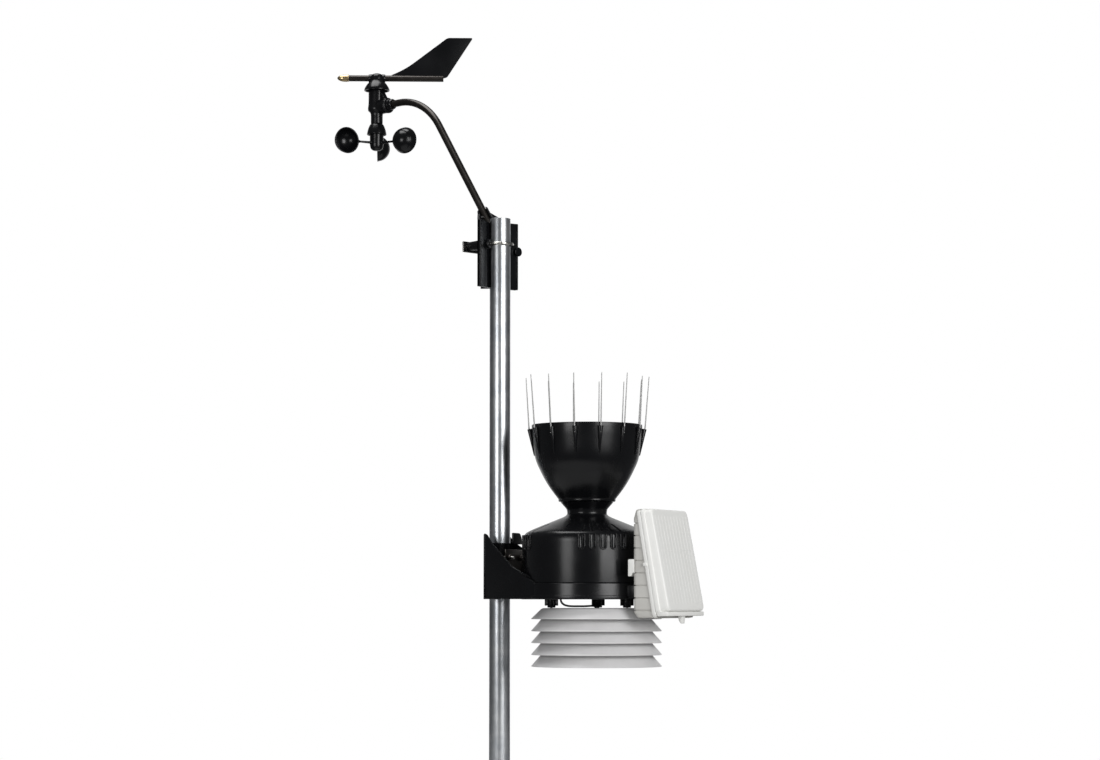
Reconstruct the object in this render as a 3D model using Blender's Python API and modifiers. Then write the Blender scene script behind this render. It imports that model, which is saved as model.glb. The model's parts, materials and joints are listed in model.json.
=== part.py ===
"""Home weather station on a steel pole: wind vane and cup rotor on a bent arm, tipping-bucket rain
collector with bird spikes, electronics box and louvred radiation shield. Metres, +Z up. The origin is
the centre of the pole's foot."""

import math

import bmesh
import bpy
from mathutils import Matrix, Vector

# Driving dimensions, in metres and degrees
POLE_RADIUS = 0.016
POLE_WALL = 0.0016
POLE_LENGTH = 0.9525
GAP = 0.0003

ARM_YAW = 135.0
ARM_RADIUS = 0.00565
ARM_WALL = 0.0012
ARM_SLOPE = math.radians(55.5)
ARM_FOOT = (0.0245, 0.948)
ARM_BEND_RADIUS = 0.1146
ARM_TOP = 1.166
HEAD_DISTANCE = 0.2906
CLAMP_BOTTOM = 0.845
CLAMP_TOP = 0.949
CLAMP_HALF_WIDTH = 0.041
CLAMP_BOLT_HEIGHT = 0.9125

VANE_HEIGHT = 1.2136
VANE_YAW = 2.0
VANE_TUBE_RADIUS = 0.005
FIN_THICKNESS = 0.0022
SPINDLE_RADIUS = 0.002
CUP_HEIGHT = 1.107
CUP_CIRCLE_RADIUS = 0.054
CUP_RADIUS = 0.0208
CUP_FIRST_ANGLE = 92.5

STATION_YAW = -27.0
COLLECTOR_X = 0.1495
BOWL_RADIUS = 0.0825
RIM_HEIGHT = 0.6279
FRONT_ANGLE = -63.0
SPIKE_COUNT = 14
SPIKE_CIRCLE_RADIUS = 0.0872
SPIKE_TIP_HEIGHT = 0.701
SPIKE_LEAN = math.radians(4.0)
SKIRT_RADIUS = 0.0966
SKIRT_BOTTOM = 0.3888
BASE_RADIUS = 0.0992
BASE_BOTTOM = 0.3645
BASE_TOP = 0.3885
BRACKET_BACK = -0.0083
BRACKET_HALF_WIDTH = 0.032
STATION_BOLT_HEIGHTS = (0.386, 0.428)
U_BOLT_RADIUS = 0.0025
U_BOLT_LEG = POLE_RADIUS + GAP + U_BOLT_RADIUS
LEG_BORE = U_BOLT_RADIUS + GAP
NUT_ACROSS = 0.0085
NUT_THICKNESS = 0.0043

AXLE_HEIGHT = 0.394
BUCKET_TILT = 14.0
BUCKET_HALF_LENGTH = 0.042
BUCKET_HALF_WIDTH = 0.014
BUCKET_AXLE_RADIUS = 0.0015
DRAIN_SPACING = 0.055

BOX_BACK = 0.1066
BOX_HALF_WIDTH = 0.0675
BOX_BOTTOM = 0.3374
BOX_TOP = 0.497
BOX_WALL = 0.0024
JOINT_TOP_X = 0.1193
JOINT_BOTTOM_X = 0.1457

SHIELD_X = COLLECTOR_X + 0.0156
SHIELD_RADIUS = 0.0985
LOUVRE_TIPS = (0.3349, 0.3167, 0.2992, 0.2813, 0.2638)
LOUVRE_RISE = 0.0195
PLATE_THICKNESS = 0.0020
SHIELD_ROD_CIRCLE = 0.070
SHIELD_ROD_ANGLES = (221.6, 336.4, 113.8)

THREAD_BORE = 0.0021

LARGE_STEPS = 40
MEDIUM_STEPS = 24
SMALL_STEPS = 12

FINISHES = {
    "black_plastic": ((0.018, 0.018, 0.02), 0.32, 0.0),
    "black_anodised": ((0.02, 0.02, 0.022), 0.3, 0.6),
    "galvanised_steel": ((0.62, 0.64, 0.66), 0.28, 1.0),
    "plated_steel": ((0.7, 0.7, 0.7), 0.22, 1.0),
    "stainless_steel": ((0.62, 0.61, 0.6), 0.25, 1.0),
    "brass": ((0.62, 0.48, 0.26), 0.3, 1.0),
    "white_plastic": ((0.78, 0.77, 0.73), 0.45, 0.0),
    "grey_plastic": ((0.6, 0.6, 0.6), 0.45, 0.0),
    "circuit_green": ((0.03, 0.16, 0.07), 0.4, 0.0),
    "magnet_grey": ((0.25, 0.25, 0.26), 0.35, 0.9),
    "lead_black": ((0.015, 0.015, 0.015), 0.5, 0.0),
}


def clear_scene():
    for obj in list(bpy.data.objects):
        bpy.data.objects.remove(obj, do_unlink=True)
    for group in list(bpy.data.collections):
        bpy.data.collections.remove(group)


clear_scene()
STATION = bpy.data.collections.new("home_weather_station")
CUTTERS = bpy.data.collections.new("cutters")
bpy.context.scene.collection.children.link(STATION)
bpy.context.scene.collection.children.link(CUTTERS)


def finish_material(name):
    """The Principled material of this finish, made once."""
    if name in bpy.data.materials:
        return bpy.data.materials[name]
    colour, roughness, metallic = FINISHES[name]
    material = bpy.data.materials.new(name)
    material.use_nodes = True
    shader = material.node_tree.nodes["Principled BSDF"]
    shader.inputs["Base Color"].default_value = (*colour, 1.0)
    shader.inputs["Roughness"].default_value = roughness
    shader.inputs["Metallic"].default_value = metallic
    return material


def frame_at(name, location=(0, 0, 0), yaw=0.0, parent=None):
    """An empty that holds a sub-assembly's own axes."""
    empty = bpy.data.objects.new(name, None)
    STATION.objects.link(empty)
    empty.parent = parent
    empty.location = location
    empty.rotation_euler = (0, 0, math.radians(yaw))
    empty.empty_display_size = 0.03
    return empty


def add(name, data, finish, parent, location=(0, 0, 0)):
    """One visible part. With no finish it is a cutter or a helper, left out of the model."""
    obj = bpy.data.objects.new(name, data)
    if finish:
        STATION.objects.link(obj)
        data.materials.append(finish_material(finish))
    else:
        CUTTERS.objects.link(obj)
        obj.hide_render = True
        obj.display_type = "WIRE"
    obj.parent = parent
    obj.location = location
    return obj


def mesh_of(name, bm):
    bmesh.ops.recalc_face_normals(bm, faces=bm.faces)
    mesh = bpy.data.meshes.new(name)
    bm.to_mesh(mesh)
    bm.free()
    return mesh


def turned(name, profile, finish, parent, location=(0, 0, 0), steps=MEDIUM_STEPS, closed=False):
    """A turned part: the (radius, height) profile about the local Z axis, down its outer side."""
    bm = bmesh.new()
    corners = [bm.verts.new((radius, 0, height)) for radius, height in profile]
    for first, second in zip(corners, corners[1:]):
        bm.edges.new((first, second))
    if closed:
        bm.edges.new((corners[-1], corners[0]))
    mesh = bpy.data.meshes.new(name)
    bm.to_mesh(mesh)
    bm.free()
    obj = add(name, mesh, finish, parent, location)
    screw = obj.modifiers.new("turn", "SCREW")
    screw.steps = steps
    screw.render_steps = steps
    screw.use_merge_vertices = True
    screw.merge_threshold = 0.00001
    screw.use_smooth_shade = True
    return obj


def prism(name, outline, low, high, finish, parent, along="Y", location=(0, 0, 0)):
    """A flat outline pushed from low to high along one axis. Along Y it lies in X and Z."""
    bm = bmesh.new()
    for first, second in outline:
        spots = {"X": (low, first, second), "Y": (first, low, second), "Z": (first, second, low)}
        bm.verts.new(spots[along])
    bmesh.ops.contextual_create(bm, geom=bm.verts[:])
    pushed = bmesh.ops.extrude_face_region(bm, geom=bm.faces[:])["geom"]
    push = {"X": (high - low, 0, 0), "Y": (0, high - low, 0), "Z": (0, 0, high - low)}[along]
    moved = [item for item in pushed if isinstance(item, bmesh.types.BMVert)]
    bmesh.ops.translate(bm, verts=moved, vec=push)
    return add(name, mesh_of(name, bm), finish, parent, location)


def block(name, low, high, finish, parent):
    """A box between two corners."""
    bm = bmesh.new()
    bmesh.ops.create_cube(bm, size=1.0)
    size = [b - a for a, b in zip(low, high)]
    centre = [(a + b) / 2 for a, b in zip(low, high)]
    bmesh.ops.scale(bm, vec=size, verts=bm.verts)
    bmesh.ops.translate(bm, vec=centre, verts=bm.verts)
    return add(name, mesh_of(name, bm), finish, parent)


def rod(name, start, end, radius, finish, parent, sides=SMALL_STEPS, end_radius=None):
    """A straight round bar, or a taper with an end radius, between two points."""
    start, end = Vector(start), Vector(end)
    length = (end - start).length
    bm = bmesh.new()
    bmesh.ops.create_cone(
        bm,
        cap_ends=True,
        segments=sides,
        radius1=radius,
        radius2=radius if end_radius is None else end_radius,
        depth=length,
    )
    turn = (end - start).to_track_quat("Z", "Y").to_matrix().to_4x4()
    bmesh.ops.transform(bm, verts=bm.verts, matrix=Matrix.Translation((start + end) / 2) @ turn)
    return add(name, mesh_of(name, bm), finish, parent)


def smooth_curve(name, points, radius, finish, parent, caps=True):
    """A round tube along points, as a curve with a bevel."""
    curve = bpy.data.curves.new(name, "CURVE")
    curve.dimensions = "3D"
    curve.bevel_depth = radius
    curve.bevel_resolution = 2
    curve.use_fill_caps = caps
    spline = curve.splines.new("POLY")
    spline.points.add(len(points) - 1)
    for spot, point in zip(spline.points, points):
        spot.co = (*point, 1.0)
    return add(name, curve, finish, parent)


def as_mesh(curve_object, finish):
    """The curve's evaluated mesh as a new object in its place, with its caps welded on."""
    bpy.context.view_layer.update()
    evaluated = curve_object.evaluated_get(bpy.context.evaluated_depsgraph_get())
    mesh = bpy.data.meshes.new_from_object(evaluated)
    bm = bmesh.new()
    bm.from_mesh(mesh)
    bmesh.ops.remove_doubles(bm, verts=bm.verts, dist=0.000001)
    bm.to_mesh(mesh)
    bm.free()
    name, parent = curve_object.name, curve_object.parent
    bpy.data.objects.remove(curve_object)
    mesh.materials.clear()
    return add(name, mesh, finish, parent)


def boolean(obj, other, operation):
    modifier = obj.modifiers.new(operation.lower(), "BOOLEAN")
    modifier.operation = operation
    modifier.object = other
    return modifier


def cut(obj, *cutters):
    for cutter in cutters:
        boolean(obj, cutter, "DIFFERENCE")


def join(obj, *others):
    for other in others:
        boolean(obj, other, "UNION")


def set_operation(obj, helpers, name, operation):
    """One Boolean with a whole group of helpers that don't touch each other."""
    group = bpy.data.collections.new(name)
    CUTTERS.children.link(group)
    for helper in helpers:
        CUTTERS.objects.unlink(helper)
        group.objects.link(helper)
    modifier = obj.modifiers.new(name, "BOOLEAN")
    modifier.operation = operation
    modifier.operand_type = "COLLECTION"
    modifier.collection = group


def round_edges(obj, width):
    modifier = obj.modifiers.new("edges", "BEVEL")
    modifier.width = width
    modifier.segments = 2


def ring(inner, outer, low, high):
    """The closed profile of a plain ring."""
    return [(inner, high), (outer, high), (outer, low), (inner, low)]


def polar(radius, degrees):
    turn = math.radians(degrees)
    return radius * math.cos(turn), radius * math.sin(turn)


def hexagon(name, y, z, low, high, parent):
    """A hexagon nut with its bore, on a U-bolt's leg, between two distances along X."""
    outline = []
    for turn in range(6):
        across, up = polar(NUT_ACROSS / math.sqrt(3), 60 * turn)
        outline.append((y + across, z + up))
    nut = prism(name, outline, low, high, "plated_steel", parent, along="X")
    bore_low, bore_high = (low - 0.002, y, z), (high + 0.002, y, z)
    cut(nut, rod(name + "_bore", bore_low, bore_high, LEG_BORE, None, parent))


def u_bolt(name, height, leg_end, parent):
    """A rod round the pole's -X side, with both legs running to leg_end on the +X side."""
    points = [(leg_end, -U_BOLT_LEG, height), (leg_end / 2, -U_BOLT_LEG, height)]
    for step in range(13):
        x, y = polar(U_BOLT_LEG, 270 - 15 * step)
        points.append((x, y, height))
    points += [(leg_end / 2, U_BOLT_LEG, height), (leg_end, U_BOLT_LEG, height)]
    smooth_curve(name, points, U_BOLT_RADIUS, "plated_steel", parent)


def pole_saddle(name, depths, low, high, half_width, finish, parent):
    """A hat-shaped block behind the pole: flat wings and a deeper middle. The pole's way is cut later."""
    front, wing, slope = depths
    outline = [
        (front, -half_width),
        (wing, -half_width),
        (wing, -0.027),
        (slope, -0.013),
        (slope, 0.013),
        (wing, 0.027),
        (wing, half_width),
        (front, half_width),
    ]
    return prism(name, outline, low, high, finish, parent, along="Z")


def cut_pole_way(obj, low, high, parent):
    """Clears the pole's way through a part."""
    way = rod(obj.name + "_pole_way", (0, 0, low), (0, 0, high), POLE_RADIUS + GAP, None, parent, LARGE_STEPS)
    cut(obj, way)


def build_pole():
    profile = ring(POLE_RADIUS - POLE_WALL, POLE_RADIUS, 0, POLE_LENGTH)
    turned("mast_pole", profile, "galvanised_steel", None, steps=LARGE_STEPS, closed=True)


def arm_point(distance):
    """A point on the arm's straight foot, this far up its slope, in the clamp's axes."""
    x, z = ARM_FOOT
    return x + distance * math.cos(ARM_SLOPE), 0, z + distance * math.sin(ARM_SLOPE)


def arm_route():
    """The arm's centre line: up the slope, round the bend, level into the head."""
    tangent = ARM_BEND_RADIUS * math.tan(ARM_SLOPE / 2)
    corner_x = ARM_FOOT[0] + (ARM_TOP - ARM_FOOT[1]) / math.tan(ARM_SLOPE)
    centre_x = corner_x + tangent
    centre_z = ARM_TOP - ARM_BEND_RADIUS
    points = [arm_point(0)]
    steps = 12
    for step in range(steps + 1):
        turn = ARM_SLOPE * (1 - step / steps)
        x = centre_x - ARM_BEND_RADIUS * math.sin(turn)
        points.append((x, 0, centre_z + ARM_BEND_RADIUS * math.cos(turn)))
    points.append((HEAD_DISTANCE - 0.0135, 0, ARM_TOP))
    return points


def build_arm(clamp):
    arm = smooth_curve("anemometer_arm", arm_route(), ARM_RADIUS, "black_anodised", clamp, caps=False)
    arm = as_mesh(arm, "black_anodised")
    wall = arm.modifiers.new("wall", "SOLIDIFY")
    wall.thickness = ARM_WALL
    wall.offset = -1.0


def build_clamp(clamp):
    """The moulded base that holds the arm, and the U-bolt that ties it to the pole."""
    base = pole_saddle(
        "arm_clamp_base",
        (0.003, 0.008, 0.030),
        CLAMP_BOTTOM,
        CLAMP_TOP,
        CLAMP_HALF_WIDTH,
        "black_plastic",
        clamp,
    )
    gusset = [(-0.027, CLAMP_TOP - 0.004), (0.027, CLAMP_TOP - 0.004), (0.027, CLAMP_TOP), (0.008, 0.968)]
    gusset += [(-0.008, 0.968), (-0.027, CLAMP_TOP)]
    join(base, prism("arm_gusset", gusset, 0.0175, 0.0225, None, clamp, along="X"))
    join(base, rod("arm_socket", arm_point(-0.006), arm_point(0.027), 0.0092, None, clamp, MEDIUM_STEPS))
    level, boss_end = CLAMP_BOLT_HEIGHT, 0.0505
    leg_bores = []
    for side in (-1, 1):
        y = side * U_BOLT_LEG
        join(base, rod(f"bolt_boss_{side}", (0.006, y, level), (boss_end, y, level), 0.0082, None, clamp, 16,
                       end_radius=0.0068))
        leg_bores.append(rod(f"leg_bore_{side}", (-0.01, y, level), (0.06, y, level), LEG_BORE, None, clamp))
    lug = rod("lag_screw_lug", (0.0036, -0.0395, 0.9048), (0.0115, -0.0395, 0.9048), 0.0072, None, clamp, 16)
    join(base, lug)
    cut(base, rod("lag_screw_hole", (0.0, -0.0395, 0.9048), (0.02, -0.0395, 0.9048), 0.0024, None, clamp))
    for side in (-1, 1):
        for number, height in enumerate((0.866, 0.934)):
            pocket = block(
                f"pocket_{side}_{number}",
                (-0.002, min(side * 0.021, side * 0.037), height - 0.013),
                (0.0055, max(side * 0.021, side * 0.037), height + 0.011),
                None,
                clamp,
            )
            cut(base, pocket)
    cut_pole_way(base, 0.80, 1.0, clamp)
    cut(base, *leg_bores)
    cut(base, rod("arm_hole", arm_point(-GAP), arm_point(0.04), ARM_RADIUS + GAP, None, clamp, MEDIUM_STEPS))
    screw_x, _, screw_z = arm_point(0.012)
    cut(base, rod("screw_hole", (screw_x, -0.002, screw_z), (screw_x, 0.02, screw_z), 0.0019, None, clamp))
    build_lock_screw(screw_x, screw_z, clamp)
    u_bolt("clamp_u_bolt", level, 0.0625, clamp)
    plate_low, plate_high = boss_end + GAP, boss_end + 0.0023
    plate = block("clamp_plate", (plate_low, -0.031, level - 0.0095), (plate_high, 0.031, level + 0.0075),
                  "plated_steel", clamp)
    round_edges(plate, 0.0006)
    for number, side in enumerate((-1, 1), 1):
        y = side * U_BOLT_LEG
        cut(plate, rod(f"plate_hole_{number}", (0.04, y, level), (0.07, y, level), LEG_BORE, None, clamp))
        nut_low = plate_high + GAP
        hexagon(f"clamp_nut_{number}", y, level, nut_low, nut_low + NUT_THICKNESS, clamp)


def build_lock_screw(x, z, clamp):
    """The cross-head screw that bears on the arm inside its socket."""
    screw = rod("arm_lock_screw", (x, 0.0062, z), (x, 0.0098, z), 0.0016, "stainless_steel", clamp)
    join(screw, rod("lock_screw_head", (x, 0.0096, z), (x, 0.0124, z), 0.0034, None, clamp, 16))
    for number, turn in enumerate((0, 90)):
        corner = Vector((0.0026, 0.0005, 0.0008))
        slot = block(f"head_slot_{number}", -corner, corner, None, clamp)
        slot.location = (x, 0.0124, z)
        slot.rotation_euler = (math.radians(90), math.radians(turn), 0)
        cut(screw, slot)


def build_head(head):
    """The housing at the arm's end, with both sensors and the lower bearing. +X points away from the pole."""
    profile = [
        (0.0045, 1.1995), (0.0105, 1.1995), (0.0128, 1.1965), (0.0134, 1.190), (0.0136, 1.172),
        (0.0146, 1.163), (0.0142, 1.1598), (0.0104, 1.1565), (0.0097, 1.152), (0.0097, 1.139),
        (0.0092, 1.138), (0.0076, 1.138), (0.0076, 1.154), (0.0108, 1.1585), (0.0108, 1.196),
        (0.0045, 1.197),
    ]
    housing = turned("head_housing", profile, "black_plastic", head, closed=True)
    boss_level = ARM_TOP - 0.0006
    join(housing, rod("arm_boss", (-0.0115, 0, boss_level), (-0.0302, 0, boss_level), 0.0122, None, head,
                      MEDIUM_STEPS))
    cut(housing, rod("arm_bore", (-0.0128, 0, ARM_TOP), (-0.04, 0, ARM_TOP), ARM_RADIUS + GAP, None, head,
                     MEDIUM_STEPS))
    collar = turned("arm_collar", [
        (ARM_RADIUS + GAP, 0.0107), (0.0074, 0.0107), (0.0086, 0.0085), (0.0086, 0.0035), (0.0094, 0.003),
        (0.0094, GAP), (ARM_RADIUS + GAP, GAP),
    ], "black_plastic", head, (-0.0302, 0, ARM_TOP), closed=True)
    collar.rotation_euler = (0, math.radians(-90), 0)
    sensor = turned("direction_sensor", [(0, 1.1865), (0.0098, 1.1865), (0.0098, 1.1795), (0, 1.1795)],
                    "magnet_grey", head)
    cut(sensor, rod("pot_bore", (0, 0, 1.181), (0, 0, 1.19), SPINDLE_RADIUS + GAP, None, head, 16))
    turned("rotor_bearing", ring(SPINDLE_RADIUS + GAP, 0.0073, 1.1465, 1.1515), "stainless_steel", head,
           closed=True)
    rod("speed_switch", (0.0052, 0, 1.1395), (0.0052, 0, 1.146), 0.0014, "stainless_steel", head)


def fin_outline():
    """The tail fin in X and Z about the vane's axis, with its leading edge swept into the tube."""
    foot = VANE_HEIGHT + 0.0008
    outline = [(0.1088, foot), (0.1144, VANE_HEIGHT + 0.0022), (0.1556, 1.2796), (0.1548, 1.2813)]
    outline += [(0.1166, 1.2813), (0.1128, 1.2796), (0.0605, 1.2398)]
    sweep = [Vector((0.0605, 1.2398)), Vector((0.0445, 1.2275)), Vector((0.0225, VANE_HEIGHT + 0.0052))]
    for step in range(1, 6):
        t = step / 5
        spot = sweep[0] * (1 - t) ** 2 + sweep[1] * 2 * t * (1 - t) + sweep[2] * t ** 2
        outline.append((spot.x, spot.y))
    outline.append((0.0225, foot))
    return outline


def build_vane(vane):
    """The cap on its spindle, the level tube through it, the nose weight and the tail fin."""
    cap = turned("vane_cap", [
        (0, 1.2218), (0.005, 1.2213), (0.0092, 1.2193), (0.0113, 1.2158), (0.0117, 1.2092), (0.0135, 1.2065),
        (0.0175, 1.2015), (0.0205, 1.1962), (0.0207, 1.193), (0.0186, 1.193), (0.0165, 1.1985),
        (0.0118, 1.204), (0, 1.204),
    ], "black_plastic", vane)
    join(cap, rod("cap_hub", (0, 0, 1.2015), (0, 0, 1.206), 0.0055, None, vane))
    bore_low, bore_high = (-0.03, 0, VANE_HEIGHT), (0.03, 0, VANE_HEIGHT)
    cut(cap, rod("cap_tube_bore", bore_low, bore_high, VANE_TUBE_RADIUS + GAP, None, vane, MEDIUM_STEPS))
    cut(cap, rod("cap_spindle_bore", (0, 0, 1.195), (0, 0, 1.2065), SPINDLE_RADIUS + GAP, None, vane, 16))
    tube_end = -0.0458
    tube = turned("vane_tube", ring(0.0038, VANE_TUBE_RADIUS, tube_end, 0.1085), "black_anodised", vane,
                  (0, 0, VANE_HEIGHT), closed=True)
    tube.rotation_euler = (0, math.radians(90), 0)
    half = FIN_THICKNESS / 2
    slot_low = (0.0219, -half - GAP, VANE_HEIGHT)
    slot_high = (0.12, half + GAP, VANE_HEIGHT + 0.01)
    cut(tube, block("fin_slot", slot_low, slot_high, None, vane))
    prism("vane_fin", fin_outline(), -half, half, "black_plastic", vane)
    nose = turned("vane_nose", [
        (0, 0.0186), (0.0026, 0.0184), (0.0046, 0.017), (0.0056, 0.0145), (0.0058, 0.0), (0, 0.0),
    ], "brass", vane, (tube_end - GAP, 0, VANE_HEIGHT))
    nose.rotation_euler = (0, math.radians(-90), 0)
    rod("vane_spindle", (0, 0, 1.1815), (0, 0, 1.206), SPINDLE_RADIUS, "stainless_steel", vane, 16)


def cup_profile():
    """A thin half ball, open at the top, with a small bead at its rim. Down the outside, up the inside."""
    wall = 0.0013
    steps = 5
    outside = [(CUP_RADIUS - wall, 0.0), (CUP_RADIUS + 0.0005, 0.0), (CUP_RADIUS + 0.0005, -0.0016)]
    for step in range(1, steps):
        x, z = polar(CUP_RADIUS, -90 * step / steps)
        outside.append((x, z))
    outside.append((0, -CUP_RADIUS))
    inside = [(0, -CUP_RADIUS + wall)]
    for step in range(steps - 1, 0, -1):
        x, z = polar(CUP_RADIUS - wall, -90 * step / steps)
        inside.append((x, z))
    return outside + inside


def build_rotor(rotor):
    """Hub with its skirt, three cups on thin arms, the spindle and the magnet ring."""
    turned("rotor_hub", [
        (0, 1.0995), (0.0023, 1.0995), (0.0023, 1.1178), (0.0085, 1.1178), (0.0085, 1.1376),
        (0.0102, 1.1376), (0.0118, 1.1355), (0.0145, 1.129), (0.016, 1.1212), (0.0156, 1.1202),
        (0.0138, 1.1202), (0.0112, 1.1235), (0.0112, 1.103), (0.0098, 1.0975), (0.006, 1.0945), (0, 1.0938),
    ], "black_plastic", rotor)
    turned("rotor_magnet", ring(0.005, 0.0082, 1.1182, 1.1222), "magnet_grey", rotor, closed=True)
    rod("rotor_spindle", (0, 0, 1.1), (0, 0, 1.157), SPINDLE_RADIUS, "stainless_steel", rotor, 16)
    for number in range(3):
        degrees = CUP_FIRST_ANGLE + 120 * number
        cup = turned(f"wind_cup_{number + 1}", cup_profile(), "black_plastic", rotor, steps=18, closed=True)
        turn = Matrix.Rotation(math.radians(degrees), 4, "Z")
        aim = Matrix.Rotation(math.radians(-90), 4, "X")
        cup.matrix_local = turn @ Matrix.Translation((CUP_CIRCLE_RADIUS, 0, CUP_HEIGHT)) @ aim
        inner = (*polar(0.0115, degrees), CUP_HEIGHT)
        outer_x, outer_y = polar(CUP_CIRCLE_RADIUS - CUP_RADIUS + 0.0005, degrees)
        back_x, back_y = polar(0.0018, degrees - 90)
        outer = (outer_x + back_x, outer_y + back_y, CUP_HEIGHT)
        join(cup, rod(f"cup_arm_{number + 1}", inner, outer, 0.0016, None, rotor, 10))


def bowl_outside():
    """(radius, height) down the bowl's outside, from its rim to the seam over the neck."""
    return [
        (0.0838, RIM_HEIGHT), (0.0826, 0.608), (0.0784, 0.578), (0.0704, 0.5584), (0.0625, 0.5432),
        (0.0548, 0.5311), (0.0425, 0.5148), (0.0425, 0.5120), (0.0370, 0.5114), (0.0150, 0.5045),
        (0.0135, 0.496),
    ]


def bowl_inside():
    """(radius, height) up the bowl's inside, from the spout to the rim."""
    wall = 0.0017
    inside = [(0.0115, 0.496), (0.0115, 0.5062), (0.0392, 0.5142)]
    for radius, height in reversed(bowl_outside()[1:6]):
        inside.append((radius - wall, height + 0.0008))
    inside.append((BOWL_RADIUS, RIM_HEIGHT))
    return inside


def build_collector(collector):
    """The bowl with its ribs and spikes, the screen in its throat, and the skirt below. They lift off."""
    bowl = turned("rain_bowl", bowl_outside() + bowl_inside(), "black_plastic", collector, steps=42,
                  closed=True)
    ribs, spikes = [], []
    foot = 0.612
    reach = (SPIKE_TIP_HEIGHT - foot) * math.tan(SPIKE_LEAN)
    for number in range(SPIKE_COUNT):
        degrees = FRONT_ANGLE + 360 * (number + 0.5) / SPIKE_COUNT
        rib_low = (*polar(0.0796, degrees), 0.5815)
        rib_high = (*polar(0.0867, degrees), 0.622)
        ribs.append(rod(f"rib_{number}", rib_low, rib_high, 0.0010, None, collector, 8, end_radius=0.0038))
        wobble = math.sin(2.4 * number)
        spike_low = (*polar(SPIKE_CIRCLE_RADIUS, degrees), foot)
        tip = polar(SPIKE_CIRCLE_RADIUS + reach + 0.0012 * wobble, degrees + 0.5 * wobble)
        spike_high = (*tip, SPIKE_TIP_HEIGHT + 0.0012 * wobble)
        spikes.append(rod(f"spike_{number}", spike_low, spike_high, 0.0011, None, collector, 6,
                          end_radius=0.0006))
    set_operation(bowl, ribs, "bowl_ribs", "UNION")
    set_operation(bowl, spikes, "bird_spikes", "UNION")
    turned("debris_screen", [
        (0, 0.6295), (0.0009, 0.6285), (0.0014, 0.545), (0.004, 0.539), (0.0098, 0.534), (0.0111, 0.529),
        (0.0111, 0.5072), (0, 0.5072),
    ], "black_plastic", collector)
    skirt_wall = 0.0021
    outside = [
        (0.0398, 0.5108), (0.0307, 0.5005), (0.0296, 0.4925), (0.0351, 0.4887), (0.0652, 0.4766),
        (0.0900, 0.4662), (0.0956, 0.4615), (SKIRT_RADIUS, 0.4540), (SKIRT_RADIUS, SKIRT_BOTTOM),
    ]
    inside = [(SKIRT_RADIUS - skirt_wall, SKIRT_BOTTOM)]
    for radius, height in reversed(outside[1:-1]):
        inside.append((radius - skirt_wall, height - 0.0012))
    inside.append((0.0376, 0.5108))
    skirt = turned("collector_skirt", outside + inside, "black_plastic", collector, steps=44, closed=True)
    pockets = []
    for group in (-147.0, -49.4, 49.4, 147.0):
        for step in range(-2, 3):
            x, y = polar(SKIRT_RADIUS + 0.0016, group + 9.6 * step)
            pockets.append(rod(f"grip_{group:.0f}_{step}", (x, y, 0.4405), (x, y, 0.4680), 0.0030, None,
                               collector, 8))
    set_operation(skirt, pockets, "grip_pockets", "DIFFERENCE")


def wall_plan(side, thickness):
    """Where one bracket wall starts beside the pole, and its heading: a tangent to the round base."""
    start = Vector((BRACKET_BACK, side * BRACKET_HALF_WIDTH))
    centre = Vector((COLLECTOR_X, 0))
    to_centre = centre - start
    lean = math.asin((BASE_RADIUS - thickness) / to_centre.length)
    heading = math.atan2(to_centre.y, to_centre.x) + side * lean
    return start, Vector((math.cos(heading), math.sin(heading)))


def bracket_wall(side, parent):
    """One side wall of the bracket: its top drops from the pole end to the round base."""
    thickness = 0.0022
    start, along = wall_plan(side, thickness)
    length, low = 0.128, BASE_BOTTOM + 0.0004
    outline = [(0.0, low), (0.0, 0.465), (0.006, 0.4635), (0.020, 0.4494), (0.080, 0.4074), (0.111, 0.400)]
    outline += [(length, 0.3895), (length, low)]
    near, far = sorted((0.0, side * thickness))
    wall = prism(f"bracket_wall_{side}", outline, near, far, None, parent)
    wall.location = (start.x, start.y, 0)
    wall.rotation_euler = (0, 0, math.atan2(along.y, along.x))
    return wall


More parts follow.
